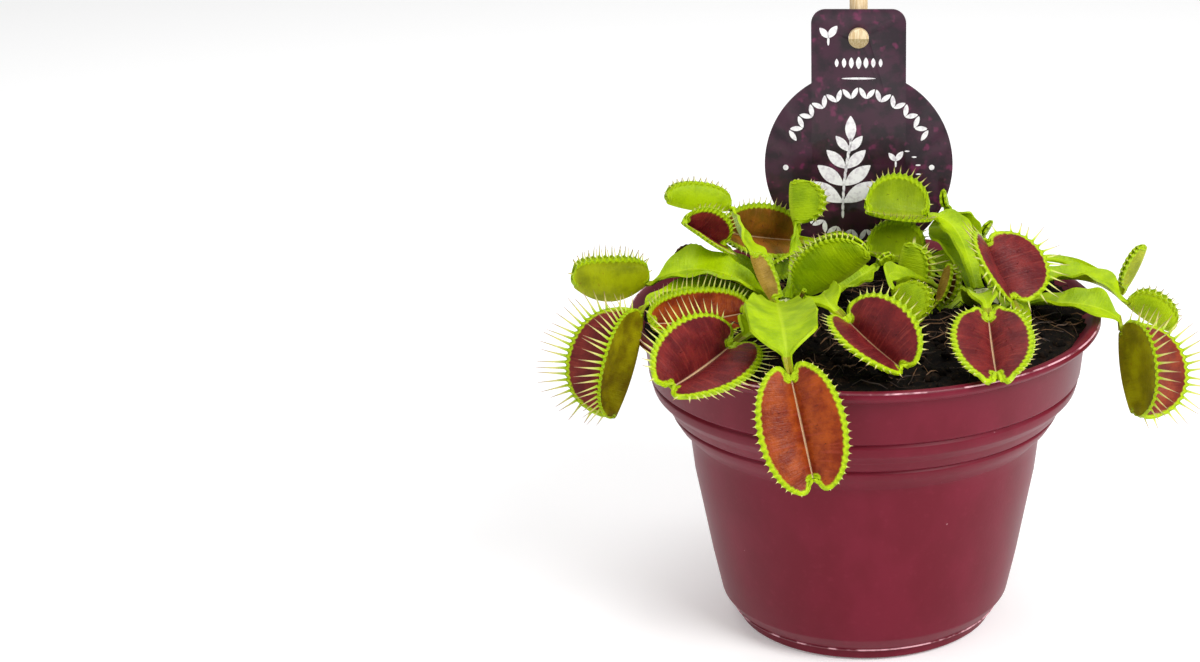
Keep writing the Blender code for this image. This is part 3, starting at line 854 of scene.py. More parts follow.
@dataclass
class PeatBed:
    """A plug of moist peat with a crumbly top, a scatter of crumbs and dry fibres."""

    finish: bpy.types.Material
    fibre_finish: bpy.types.Material
    radius: float = 42.4
    bottom: float = 6.0
    level: float = 61.0
    rise_to_front: float = 0.3
    lump_width: float = 6.0
    lump_height: float = 1.0
    crumb_width: float = 1.7
    crumb_height: float = 0.55
    sides: int = 150
    rings: int = 46
    crumbs: int = 620
    fibres: int = 420
    seed: int = 11

    def height(self, x: float, y: float) -> float:
        """The peat's height at a place.

        Args:
            x: The place to the right of the axis, in millimetres.
            y: The place behind the axis, in millimetres.

        Returns:
            The height above the pot's foot, in millimetres.
        """
        lumps = noise.fractal(Vector((x / self.lump_width, y / self.lump_width, 0.3)), 0.8, 2.1, 4)
        crumbly = noise.fractal(Vector((x / self.crumb_width, y / self.crumb_width, 4.1)), 0.6, 2.1, 4)
        edge = eased(self.radius * 0.8, self.radius, (x * x + y * y) ** 0.5)
        front = self.rise_to_front * eased(10.0, -34.0, y) * (1.0 - 0.5 * eased(10.0, 34.0, x))
        rough = self.lump_height * lumps * (1 - 0.6 * edge) + self.crumb_height * crumbly
        return self.level + front - 0.3 * edge + rough

    def build(self) -> None:
        """Model the bed, its crumbs and its fibres, and dress them."""
        draw = random.Random(self.seed)
        bed = self.bed()
        crumbs = self.scatter_crumbs(draw)
        piece = join([bed] + crumbs, "peat_bed")
        dress(piece, self.finish)
        hand_over(piece, 60.0, "peat", "peat_soil")
        strands = join(self.scatter_fibres(draw), "peat_fibres")
        dress(strands, self.fibre_finish)
        hand_over(strands, 60.0, "peat")

    def bed(self) -> bpy.types.Object:
        """The plug itself, raised from its bottom and drawn in over a crumbly top."""
        wall = [(25.0, self.bottom), (27.7, 13.5), (31.8, 38.2), (35.2, 42.6), (36.4, 46.0)]
        wall += [(39.4, 50.6), (40.3, 59.0)]
        shares = [step / self.rings for step in range(self.rings + 1)]
        top = [(self.radius * (1 - share) ** 0.9 + 0.3, self.level) for share in shares]
        bed = turned("peat_bed", wall + top, self.sides)
        for vert in bed.data.vertices:
            if vert.co.z > (self.level - 1.0) * MM:
                x, y = vert.co.x / MM, vert.co.y / MM
                vert.co.z = self.height(x, y) * MM
                vert.co.x += 0.35 * MM * noise.noise(Vector((x, y, 9.0)))
                vert.co.y += 0.35 * MM * noise.noise(Vector((x, y, 19.0)))
        return bed

    def place_on_top(self, draw: random.Random, margin: float) -> tuple[float, float]:
        """A random place on the peat, at least margin from its edge."""
        reach = (self.radius - margin) * draw.random() ** 0.5
        angle = draw.uniform(0.0, 2 * pi)
        return reach * cos(angle), reach * sin(angle)

    def scatter_crumbs(self, draw: random.Random) -> list[bpy.types.Object]:
        """Rough crumbs of several sizes, half sunk in the bed.

        Args:
            draw: The random numbers to use.

        Returns:
            The crumbs.
        """
        start_alone()
        bpy.ops.mesh.primitive_ico_sphere_add(subdivisions=1, radius=1.0)
        template = named("crumb")
        for vert in template.data.vertices:
            vert.co *= 1.0 + 0.45 * noise.noise(vert.co * 3.1)
        made = []
        for _ in range(self.crumbs):
            x, y = self.place_on_top(draw, 1.2)
            size = draw.uniform(0.25, 0.75) + (0.7 * draw.random() ** 6)
            turn = Matrix.Rotation(draw.uniform(0, 2 * pi), 4, "Z")
            turn = turn @ Matrix.Rotation(draw.uniform(0, pi), 4, "X")
            long, flat = draw.uniform(0.8, 1.7), draw.uniform(0.5, 0.9)
            stretch = Matrix.Diagonal((size * long, size, size * flat, 1.0))
            spot = Matrix.Translation((x, y, self.height(x, y) + size * 0.2))
            made.append(copied(template, Matrix.Scale(MM, 4) @ spot @ turn @ stretch))
        discard(template)
        return made

    def scatter_fibres(self, draw: random.Random) -> list[bpy.types.Object]:
        """Thin bent fibres lying on the bed, each following its height.

        Args:
            draw: The random numbers to use.

        Returns:
            The fibres.
        """
        template = turned("fibre", [(0.6, 0.0), (1.0, 0.25), (1.0, 0.5), (0.8, 0.75), (0.3, 1.0)], 3)
        for vert in template.data.vertices:
            vert.co /= MM
        made = []
        for _ in range(self.fibres):
            x, y = self.place_on_top(draw, 3.0)
            strand = copied(template, Matrix.Identity(4))
            length = draw.uniform(2.5, 9.0)
            thick = draw.uniform(0.06, 0.15)
            angle = draw.uniform(0.0, 2 * pi)
            curve = draw.uniform(-1.0, 1.0)
            lift = draw.uniform(0.2, 1.6)
            for vert in strand.data.vertices:
                share = vert.co.z
                bend = angle + curve * share
                at_x = x + length * share * cos(bend) - vert.co.x * thick * sin(bend)
                at_y = y + length * share * sin(bend) + vert.co.x * thick * cos(bend)
                pull = min(1.0, (self.radius - 0.8) / max((at_x * at_x + at_y * at_y) ** 0.5, 0.001))
                at_x, at_y = at_x * pull, at_y * pull
                rise = 0.25 + lift * share * (1 - share) * 3.0
                vert.co = Vector((at_x, at_y, self.height(at_x, at_y) + rise + vert.co.y * thick)) * MM
            made.append(strand)
        discard(template)
        return made


# ----------------------------------------------------------------------------------------------------------
# Leaves


@dataclass(frozen=True)
class Tint:
    """How a trap is stained: red inside, olive outside, rusty rather than rose, and blushed outside."""

    red: float = 1.0
    olive: float = 0.0
    rust: float = 0.0
    blush: float = 0.0


class Stain(Enum):
    """The stains that this plant's traps show."""

    MAROON = Tint(red=1.0, olive=0.15)
    RUSTY = Tint(red=1.0, rust=1.0)
    OLD = Tint(red=1.0, olive=0.9, rust=0.12)
    OLD_RUSTY = Tint(red=1.0, olive=0.75, rust=0.5)
    HALF_OLIVE = Tint(red=0.75, olive=0.55, rust=0.4)
    BROWNISH = Tint(red=0.85, rust=0.55, blush=0.12)
    GREEN = Tint(red=0.0)
    PALE = Tint(red=0.12)
    PINK = Tint(red=0.6)
    BLUSHED = Tint(red=0.9, blush=0.75)
    TIPPED = Tint(red=0.3, blush=0.3)


@dataclass
class Crown:
    """A rhizome top: a rounded knob of overlapping leaf bases, set in the peat."""

    name: str
    node: str
    centre: Vector
    radius: float
    scales: int = 9
    core: float = 0.92
    ridge: float = 0.10
    roughness: float = 0.06

    def build(self, finish: bpy.types.Material) -> None:
        """Model the knob and its overlapping scales, and dress them.

        Args:
            finish: The rhizome's material.
        """
        start_alone()
        bpy.ops.mesh.primitive_uv_sphere_add(segments=40, ring_count=24, radius=self.radius * MM)
        knob = named(self.name)
        for vert in knob.data.vertices:
            turn = atan2(vert.co.y, vert.co.x)
            ridge = self.ridge * abs(sin(self.scales * turn / 2 + vert.co.z / MM * 0.35))
            rough = self.roughness * noise.noise(vert.co / MM * 0.9)
            vert.co *= self.core + ridge + rough
        knob.data.transform(Matrix.Translation(self.centre * MM))
        dress(knob, finish)
        hand_over(knob, 60.0, "rhizome", self.node)


CROWNS = {
    "main": Crown("main_rhizome", "crown_main", Vector((-15.3, 1.0, 58.6)), 4.6),
    "side": Crown("side_rhizome", "crown_side", Vector((22.8, 9.0, 58.6)), 4.0),
}


def direction(azimuth: float, elevation: float) -> Vector:
    """A unit vector from an azimuth and an elevation in degrees."""
    turn = radians(azimuth)
    rise = radians(elevation)
    return Vector((cos(rise) * cos(turn), cos(rise) * sin(turn), sin(rise)))


def square_to(vector: Vector, axis: Vector) -> Vector:
    """The unit vector nearest to vector that is square to axis."""
    return (vector - axis * vector.dot(axis)).normalized()


def bezier(points: list[Vector], share: float) -> Vector:
    """A point on a cubic Bezier curve."""
    rest = 1 - share
    first, second, third, fourth = points
    return rest**3 * first + 3 * share * rest**2 * second + 3 * share**2 * rest * third + share**3 * fourth


def tangent(points: list[Vector], share: float) -> Vector:
    """The unit direction of a cubic Bezier curve."""
    step = 0.001
    return (bezier(points, min(share + step, 1.0)) - bezier(points, max(share - step, 0.0))).normalized()


@dataclass
class LeafFinishes:
    """The materials of one leaf, by side."""

    upper: bpy.types.Material
    under: bpy.types.Material
    tooth: bpy.types.Material
    withered: bpy.types.Material


@dataclass
class FlytrapLeaf:
    """One leaf: a winged petiole that starts on a crown and ends in a two-lobed, toothed trap.

    base is the azimuth and elevation, in degrees, of its start on the crown. neck is where the petiole ends.
    aim is the azimuth and elevation of the trap's hinge, and twist turns the mouth about it. opening is half
    the angle between the lobes at the hinge, and curl how far each lobe bends from there to its edge. wing is
    half the petiole's width. via pulls the petiole's arch towards a point, while lead and approach are how
    far it runs on at each end. overhang is how much longer the lobes are than the hinge, bow how far the
    hinge sags, and roll turns the petiole's blade. tooth is the teeth's length, tooth_lean how far they lean
    over the mouth, shoulder how far the lobes' rounded ends reach, and stain the trap's colouring.
    """

    node: str
    crown: str
    base: tuple[float, float]
    neck: tuple[float, float, float]
    aim: tuple[float, float]
    twist: float
    length: float
    depth: float
    opening: float
    curl: float
    wing: float
    via: tuple[float, float, float] | None = None
    overhang: float = 1.16
    bow: float = 0.05
    lead: float = 0.35
    approach: float = 0.3
    roll: float = 0.0
    stain: Stain = Stain.GREEN
    tooth: float = 2.0
    tooth_lean: float = 0.0
    shoulder: float = 1.07
    withered: bool = False

    petiole_rows: ClassVar[int] = 34
    columns: ClassVar[int] = 28
    end_angle: ClassVar[float] = 24.0
    fold: ClassVar[float] = 68.0
    fullness: ClassVar[float] = 0.85
    neck_half: ClassVar[float] = 0.75
    neck_length: ClassVar[float] = 0.6
    start_gap: ClassVar[float] = 0.35
    link_rows: ClassVar[int] = 3
    ear: ClassVar[float] = 0.12
    ear_rows: ClassVar[int] = 6
    notch_half: ClassVar[float] = 0.5
    scallop: ClassVar[float] = 0.028
    tooth_spacing: ClassVar[float] = 1.15
    least_toothed: ClassVar[float] = 4.0
    margin_starts: ClassVar[float] = 0.87
    thin_below: ClassVar[float] = 10.0
    thin: ClassVar[float] = 0.42
    thick: ClassVar[float] = 0.55
    haired_from: ClassVar[float] = 11.0
    shut_curl: ClassVar[float] = -15.0

    @property
    def is_shut(self) -> bool:
        """Whether the lobes bend inwards so far that the trap counts as shut."""
        return self.curl < self.shut_curl

    def prepare(self) -> None:
        """Work out the petiole's curve, its frames and the trap's axes."""
        crown = CROWNS[self.crown]
        outward = direction(*self.base)
        self.hinge = direction(*self.aim)
        neck = Vector(self.neck)
        start = crown.centre + outward * (crown.radius + self.start_gap)
        span = (neck - start).length
        pull = Vector(self.via) if self.via else neck - self.hinge * span * self.approach
        self.curve = [start, start + outward * span * self.lead, pull, neck]
        upper = square_to(Vector((-cos(radians(self.base[0])), -sin(radians(self.base[0])), 0.9)), outward)
        self.frames = []
        for row in range(self.petiole_rows + 1):
            for fine in range(4):
                step = max(row - 0.75 + fine * 0.25, 0.0) / self.petiole_rows
                upper = square_to(upper, tangent(self.curve, step))
            share = row / self.petiole_rows
            along = tangent(self.curve, share)
            roll = radians(self.roll) * eased(0.0, 0.35, share) * eased(1.0, 0.7, share)
            turn = radians(self.twist) * eased(0.35, 1.0, share) + roll
            turned_up = Matrix.Rotation(turn, 3, along) @ upper
            self.frames.append((bezier(self.curve, share), along, turned_up))
        bend = tangent(self.curve, 1.0).rotation_difference(self.hinge)
        self.mouth = Matrix.Rotation(radians(self.twist), 3, self.hinge) @ square_to(bend @ upper, self.hinge)
        self.side = self.mouth.cross(self.hinge)
        back = self.length / 2 * (self.overhang - 1) + self.neck_length
        self.middle = neck + self.hinge * (back + self.length / 2)
        margin = self.length * 1.25
        self.teeth = max(5, round(margin / self.tooth_spacing)) if self.length > self.least_toothed else 3
        self.phase = sum(self.neck)

    def petiole_half_width(self, share: float) -> float:
        """Half the petiole's width: narrow at the crown, widest past the middle, narrow at the neck."""
        width = self.wing * (0.34 + 0.66 * eased(0.0, 0.66, share)) * (1 - eased(0.80, 1.0, share))
        wave = 1.0 + 0.05 * sin(share * 17.0 + self.phase) * eased(0.2, 0.5, share)
        return max(width * wave, self.neck_half)

    def petiole_point(self, row: int, across: float) -> Vector:
        """A point on the petiole's upper side.

        Args:
            row: Which row along it.
            across: From -1 at one margin to 1 at the other.

        Returns:
            The point, in millimetres.
        """
        middle, along, up = self.frames[row]
        share = row / self.petiole_rows
        half = self.petiole_half_width(share)
        side = up.cross(along)
        fold = radians(self.fold)
        reach = abs(across)
        crinkle = 0.07 * half * reach**3 * sin(share * 29.0 + self.phase + 2.0 * across)
        arch = -0.06 * half * sin(pi * reach)
        return middle + side * across * half * sin(fold) + up * (reach * half * cos(fold) + crinkle + arch)

    def lobe_offset(self, distance: float, bend_share: float) -> tuple[float, float, float]:
        """How a lobe has reached at a distance from its hinge.

        Args:
            distance: The distance along the lobe, in millimetres.
            bend_share: How much of the curl has been used up there.

        Returns:
            The reach sideways, the reach up and the lobe's lean there in radians.
        """
        start = radians(self.opening)
        bend = radians(self.curl) * bend_share
        if abs(bend) < 0.002:
            return distance * sin(start), distance * cos(start), start
        reach = distance / bend
        lean = start + bend
        return reach * (cos(start) - cos(lean)), reach * (sin(lean) - sin(start)), lean

    def lobe_end(self, beyond: float) -> tuple[float, float]:
        """Follow the margin round a lobe's end, from the full lobe back to the hinge.

        Args:
            beyond: From 0 where the rounded end starts to 1 beside the hinge.

        Returns:
            The place along the hinge from the trap's middle and the lobe's depth there, in millimetres.
        """
        half = self.length / 2
        first = radians(self.end_angle)
        start = Vector((half * self.overhang * cos(first), self.depth * sin(first) ** self.fullness))
        corner = Vector((half * self.overhang * self.shoulder, self.depth * 0.10))
        finish = Vector((half, self.notch_half))
        rest = 1 - beyond
        place = start * rest * rest + corner * 2 * beyond * rest + finish * beyond * beyond
        return place.x, place.y

    def trap_point(self, share_along: float, across: float) -> Vector:
        """A point on the trap's inner side.

        Args:
            share_along: From 0 at the neck end to 1 at the far end, and past them by ear on the rounded ends.
            across: From -1 at one lobe's margin to 1 at the other's.

        Returns:
            The point, in millimetres.
        """
        first = radians(self.end_angle)
        half = self.length / 2
        reach = abs(across)
        beyond = max(-share_along, share_along - 1.0, 0.0) / self.ear
        if beyond > 0:
            at_edge, lobe = self.lobe_end(min(beyond, 1.0))
            at_hinge = half
            if share_along < 0:
                at_edge, at_hinge = -at_edge, -at_hinge
        else:
            angle = first + (pi - 2 * first) * share_along
            at_hinge = -half * cos(angle) / cos(first)
            at_edge = -half * self.overhang * cos(angle)
            scallop = -self.scallop * cos(2 * pi * self.teeth * share_along) * reach**10
            lobe = self.depth * sin(angle) ** self.fullness * (1.0 + scallop)
        sideways, up, lean = self.lobe_offset(lobe * reach, reach)
        level = eased(0.0, 0.2, share_along) * eased(1.0, 0.8, share_along)
        swell = (0.02 if self.is_shut else 0.085) * lobe * sin(pi * reach**0.85) * level
        groove = -0.22 * eased(0.10, 0.0, reach)
        flare = 0.10 * self.depth * max(reach - self.margin_starts, 0.0) / (1 - self.margin_starts)
        inward = swell + groove - flare * 0.35 * (1 - beyond)
        sideways += -cos(lean) * inward * min(1.0, reach * 6.0)
        up += sin(lean) * inward if reach > 0.02 else groove
        if across < 0:
            sideways = -sideways
        sag = self.bow * self.length * (1 - (at_hinge / half) ** 2)
        along = at_hinge + (at_edge - at_hinge) * reach**1.2
        return self.middle + self.hinge * along + self.side * sideways + self.mouth * (up - sag)

    def stations(self) -> list[float]:
        """Where the rows across the trap lie, from beyond its neck end to beyond its far end."""
        rows = max(26, self.teeth * 5)
        near = [-self.ear * (1 - step / self.ear_rows) for step in range(self.ear_rows)]
        far = [1 + self.ear * (step + 1) / self.ear_rows for step in range(self.ear_rows)]
        return near + [step / rows for step in range(rows + 1)] + far

    def blade(self, finishes: LeafFinishes) -> bpy.types.Object:
        """Model the leaf's blade from a grid and give it its thickness.

        Args:
            finishes: The leaf's materials.

        Returns:
            The blade, with its plan on one UV map and its place by the trap's margin on another.
        """
        stations = self.stations()
        first_trap = self.petiole_rows + self.link_rows + 1
        rows = first_trap + len(stations) - 1
        start_alone()
        bpy.ops.mesh.primitive_grid_add(x_subdivisions=self.columns, y_subdivisions=rows, size=2.0)
        obj = named(self.node.removeprefix("leaf_") + "_leaf")
        margin = self.margin_tree(stations)
        plan, by_margin = [], []
        for vert in obj.data.vertices:
            across = vert.co.x
            row = round((vert.co.y + 1) / 2 * rows)
            reach, phase, along = FAR_FROM_MARGIN, 0.0, 1.0
            if row <= self.petiole_rows:
                point = self.petiole_point(row, across)
                along = row / self.petiole_rows
            elif row < first_trap:
                share = (row - self.petiole_rows) / (self.link_rows + 1)
                last = self.petiole_point(self.petiole_rows, across)
                point = last.lerp(self.trap_point(-self.ear, across), share)
            else:
                share = stations[row - first_trap]
                point = self.trap_point(share, across)
                reach, phase = margin.find(point)[2], share * self.teeth
                along = 1.0 + min(max(share, 0.03), 0.97)
            plan.append(((across + 1) / 2, along))
            by_margin.append((reach, phase))
            vert.co = point * MM
        write_plan(obj.data, "LeafPlan", plan)
        write_plan(obj.data, "MarginPlan", by_margin)
        self.face_inwards(obj)
        if self.withered:
            dress(obj, finishes.withered, finishes.withered, finishes.tooth)
        else:
            dress(obj, finishes.upper, finishes.under, finishes.tooth)
        thick = self.thin if self.length < self.thin_below else self.thick
        with_modifier(
            obj, "SOLIDIFY", thickness=thick * MM, offset=-1.0, material_offset=1, material_offset_rim=1
        )
        return obj

    def margin_tree(self, stations: list[float]) -> kdtree.KDTree:
        """The points of both margins, ready to measure from."""
        tree = kdtree.KDTree(len(stations) * 2)
        for place, share in enumerate(stations):
            tree.insert(self.trap_point(share, -1.0), place * 2)
            tree.insert(self.trap_point(share, 1.0), place * 2 + 1)
        tree.balance()
        return tree

    def face_inwards(self, obj: bpy.types.Object) -> None:
        """Turn the sheet's normals to the trap's inner side."""
        lowest = min(obj.data.polygons, key=lambda face: (face.center - self.middle * MM).length)
        if lowest.normal.dot(self.mouth) < 0:
            edit_all(obj)
            bpy.ops.mesh.flip_normals()
            bpy.ops.object.mode_set(mode="OBJECT")

    def tooth_places(self, draw: random.Random) -> list[Matrix]:
        """Where each tooth and trigger hair stands, as placements of the tooth template in millimetres."""
        places = []
        step = 0.01
        for lobe in (-1, 1):
            for index in range(-1, self.teeth + 1):
                share = min(max((index + 0.5) / self.teeth, -0.6 * self.ear), 1 + 0.6 * self.ear)
                foot = self.trap_point(share, lobe * 0.985)
                margin = self.trap_point(share + step, lobe) - self.trap_point(share - step, lobe)
                margin.normalize()
                out = square_to(self.trap_point(share, lobe) - self.trap_point(share, lobe * 0.8), margin)
                inner = margin.cross(out) * lobe
                if inner.dot(self.mouth) < 0 and not self.is_shut:
                    inner.negate()
                ends = sin(pi * (0.14 + 0.72 * share)) ** 0.7
                reach = self.tooth * ends * draw.uniform(0.85, 1.12)
                tilt = radians(draw.uniform(2.0, 16.0) + self.tooth_lean + (12.0 if self.is_shut else 0.0))
                tip = (out * cos(tilt) + inner * sin(tilt) + margin * draw.uniform(-0.12, 0.12)).normalized()
                thick = tip.cross(margin).normalized() * (1.0 if tip.cross(margin).dot(inner) > 0 else -1.0)
                width = 0.15 + 0.03 * self.tooth
                places.append(placement(foot - out * 0.15, margin * width, thick * 0.17, tip * reach))
        return places

    def hairs(self, draw: random.Random) -> list[Matrix]:
        """Three trigger hairs inside each lobe of a large trap."""
        places = []
        if self.length < self.haired_from:
            return places
        for lobe in (-1, 1):
            for share, reach in ((0.36, 0.5), (0.5, 0.38), (0.64, 0.5)):
                foot = self.trap_point(share, lobe * reach)
                along = (self.trap_point(share + 0.02, lobe * reach) - foot).normalized()
                over = (self.trap_point(share, lobe * (reach + 0.05)) - foot).normalized()
                up = along.cross(over)
                up = up if up.dot(self.mouth) > 0 else -up
                places.append(placement(foot, along * 0.06, over * 0.06, up * draw.uniform(0.9, 1.3)))
        return places

    def build(self, finishes: LeafFinishes, tooth: bpy.types.Object, hair: bpy.types.Object) -> None:
        """Model the whole leaf with its teeth, stain it and hand it over.

        Args:
            finishes: The leaf's materials.
            tooth: The tooth template.
            hair: The trigger hair template.
        """
        self.prepare()
        draw = random.Random(len(self.node) * 31 + self.teeth)
        pieces = [self.blade(finishes)]
        if self.tooth > 0:
            pieces += [copied(tooth, Matrix.Scale(MM, 4) @ place) for place in self.tooth_places(draw)]
            pieces += [copied(hair, Matrix.Scale(MM, 4) @ place) for place in self.hairs(draw)]
        leaf = join(pieces, pieces[0].name)
        tone = self.stain.value
        stain = leaf.data.color_attributes.new("stain", "FLOAT_COLOR", "POINT")
        channels = (tone.red, tone.olive, tone.rust, tone.blush)
        stain.data.foreach_set("color", channels * len(leaf.data.vertices))
        hand_over(leaf, 70.0, "leaf", self.node)


def write_plan(mesh: bpy.types.Mesh, name: str, values: list[tuple[float, float]]) -> None:
    """Write one pair of numbers a vertex to a UV map, which is added if the mesh lacks it.

    Args:
        mesh: The mesh.
        name: The UV map's name.
        values: The pairs, in the order of the vertices.
    """
    layer = mesh.uv_layers.get(name) or mesh.uv_layers.new(name=name)
    for loop in mesh.loops:
        layer.data[loop.index].uv = values[loop.vertex_index]


def placement(foot: Vector, across: Vector, thick: Vector, tip: Vector) -> Matrix:
    """A placement whose axes are the three given vectors, with its origin at foot."""
    made = Matrix.Identity(4)
    for column, axis in enumerate((across, thick, tip, foot)):
        made.col[column][:3] = axis
    return made


def tooth_template(finish: bpy.types.Material, reach_from: float, bend: float) -> bpy.types.Object:
    """A tooth or hair of unit length: a five-sided taper that bends to its inner side.

    Args:
        finish: The teeth's material.
        reach_from: What its reach on the UV map starts from: 0 for a tooth and 2 for a trigger hair.
        bend: How far its tip leans over, against its thickness.

    Returns:
        The template, with its reach on a UV map.
    """
    tooth = turned("tooth", [(1.0, 0.0), (0.80, 0.12), (0.52, 0.42), (0.30, 0.72), (0.10, 1.0)], 5)
    mesh = tooth.data
    while mesh.uv_layers:
        mesh.uv_layers.remove(mesh.uv_layers[0])
    for vert in mesh.vertices:
        vert.co /= MM
    write_plan(mesh, "LeafPlan", [(0.5, reach_from + vert.co.z) for vert in mesh.vertices])
    for vert in mesh.vertices:
        vert.co.y += bend * vert.co.z**2
    for _ in range(3):
        mesh.materials.append(finish)
    for face in mesh.polygons:
        face.material_index = 2
    return tooth


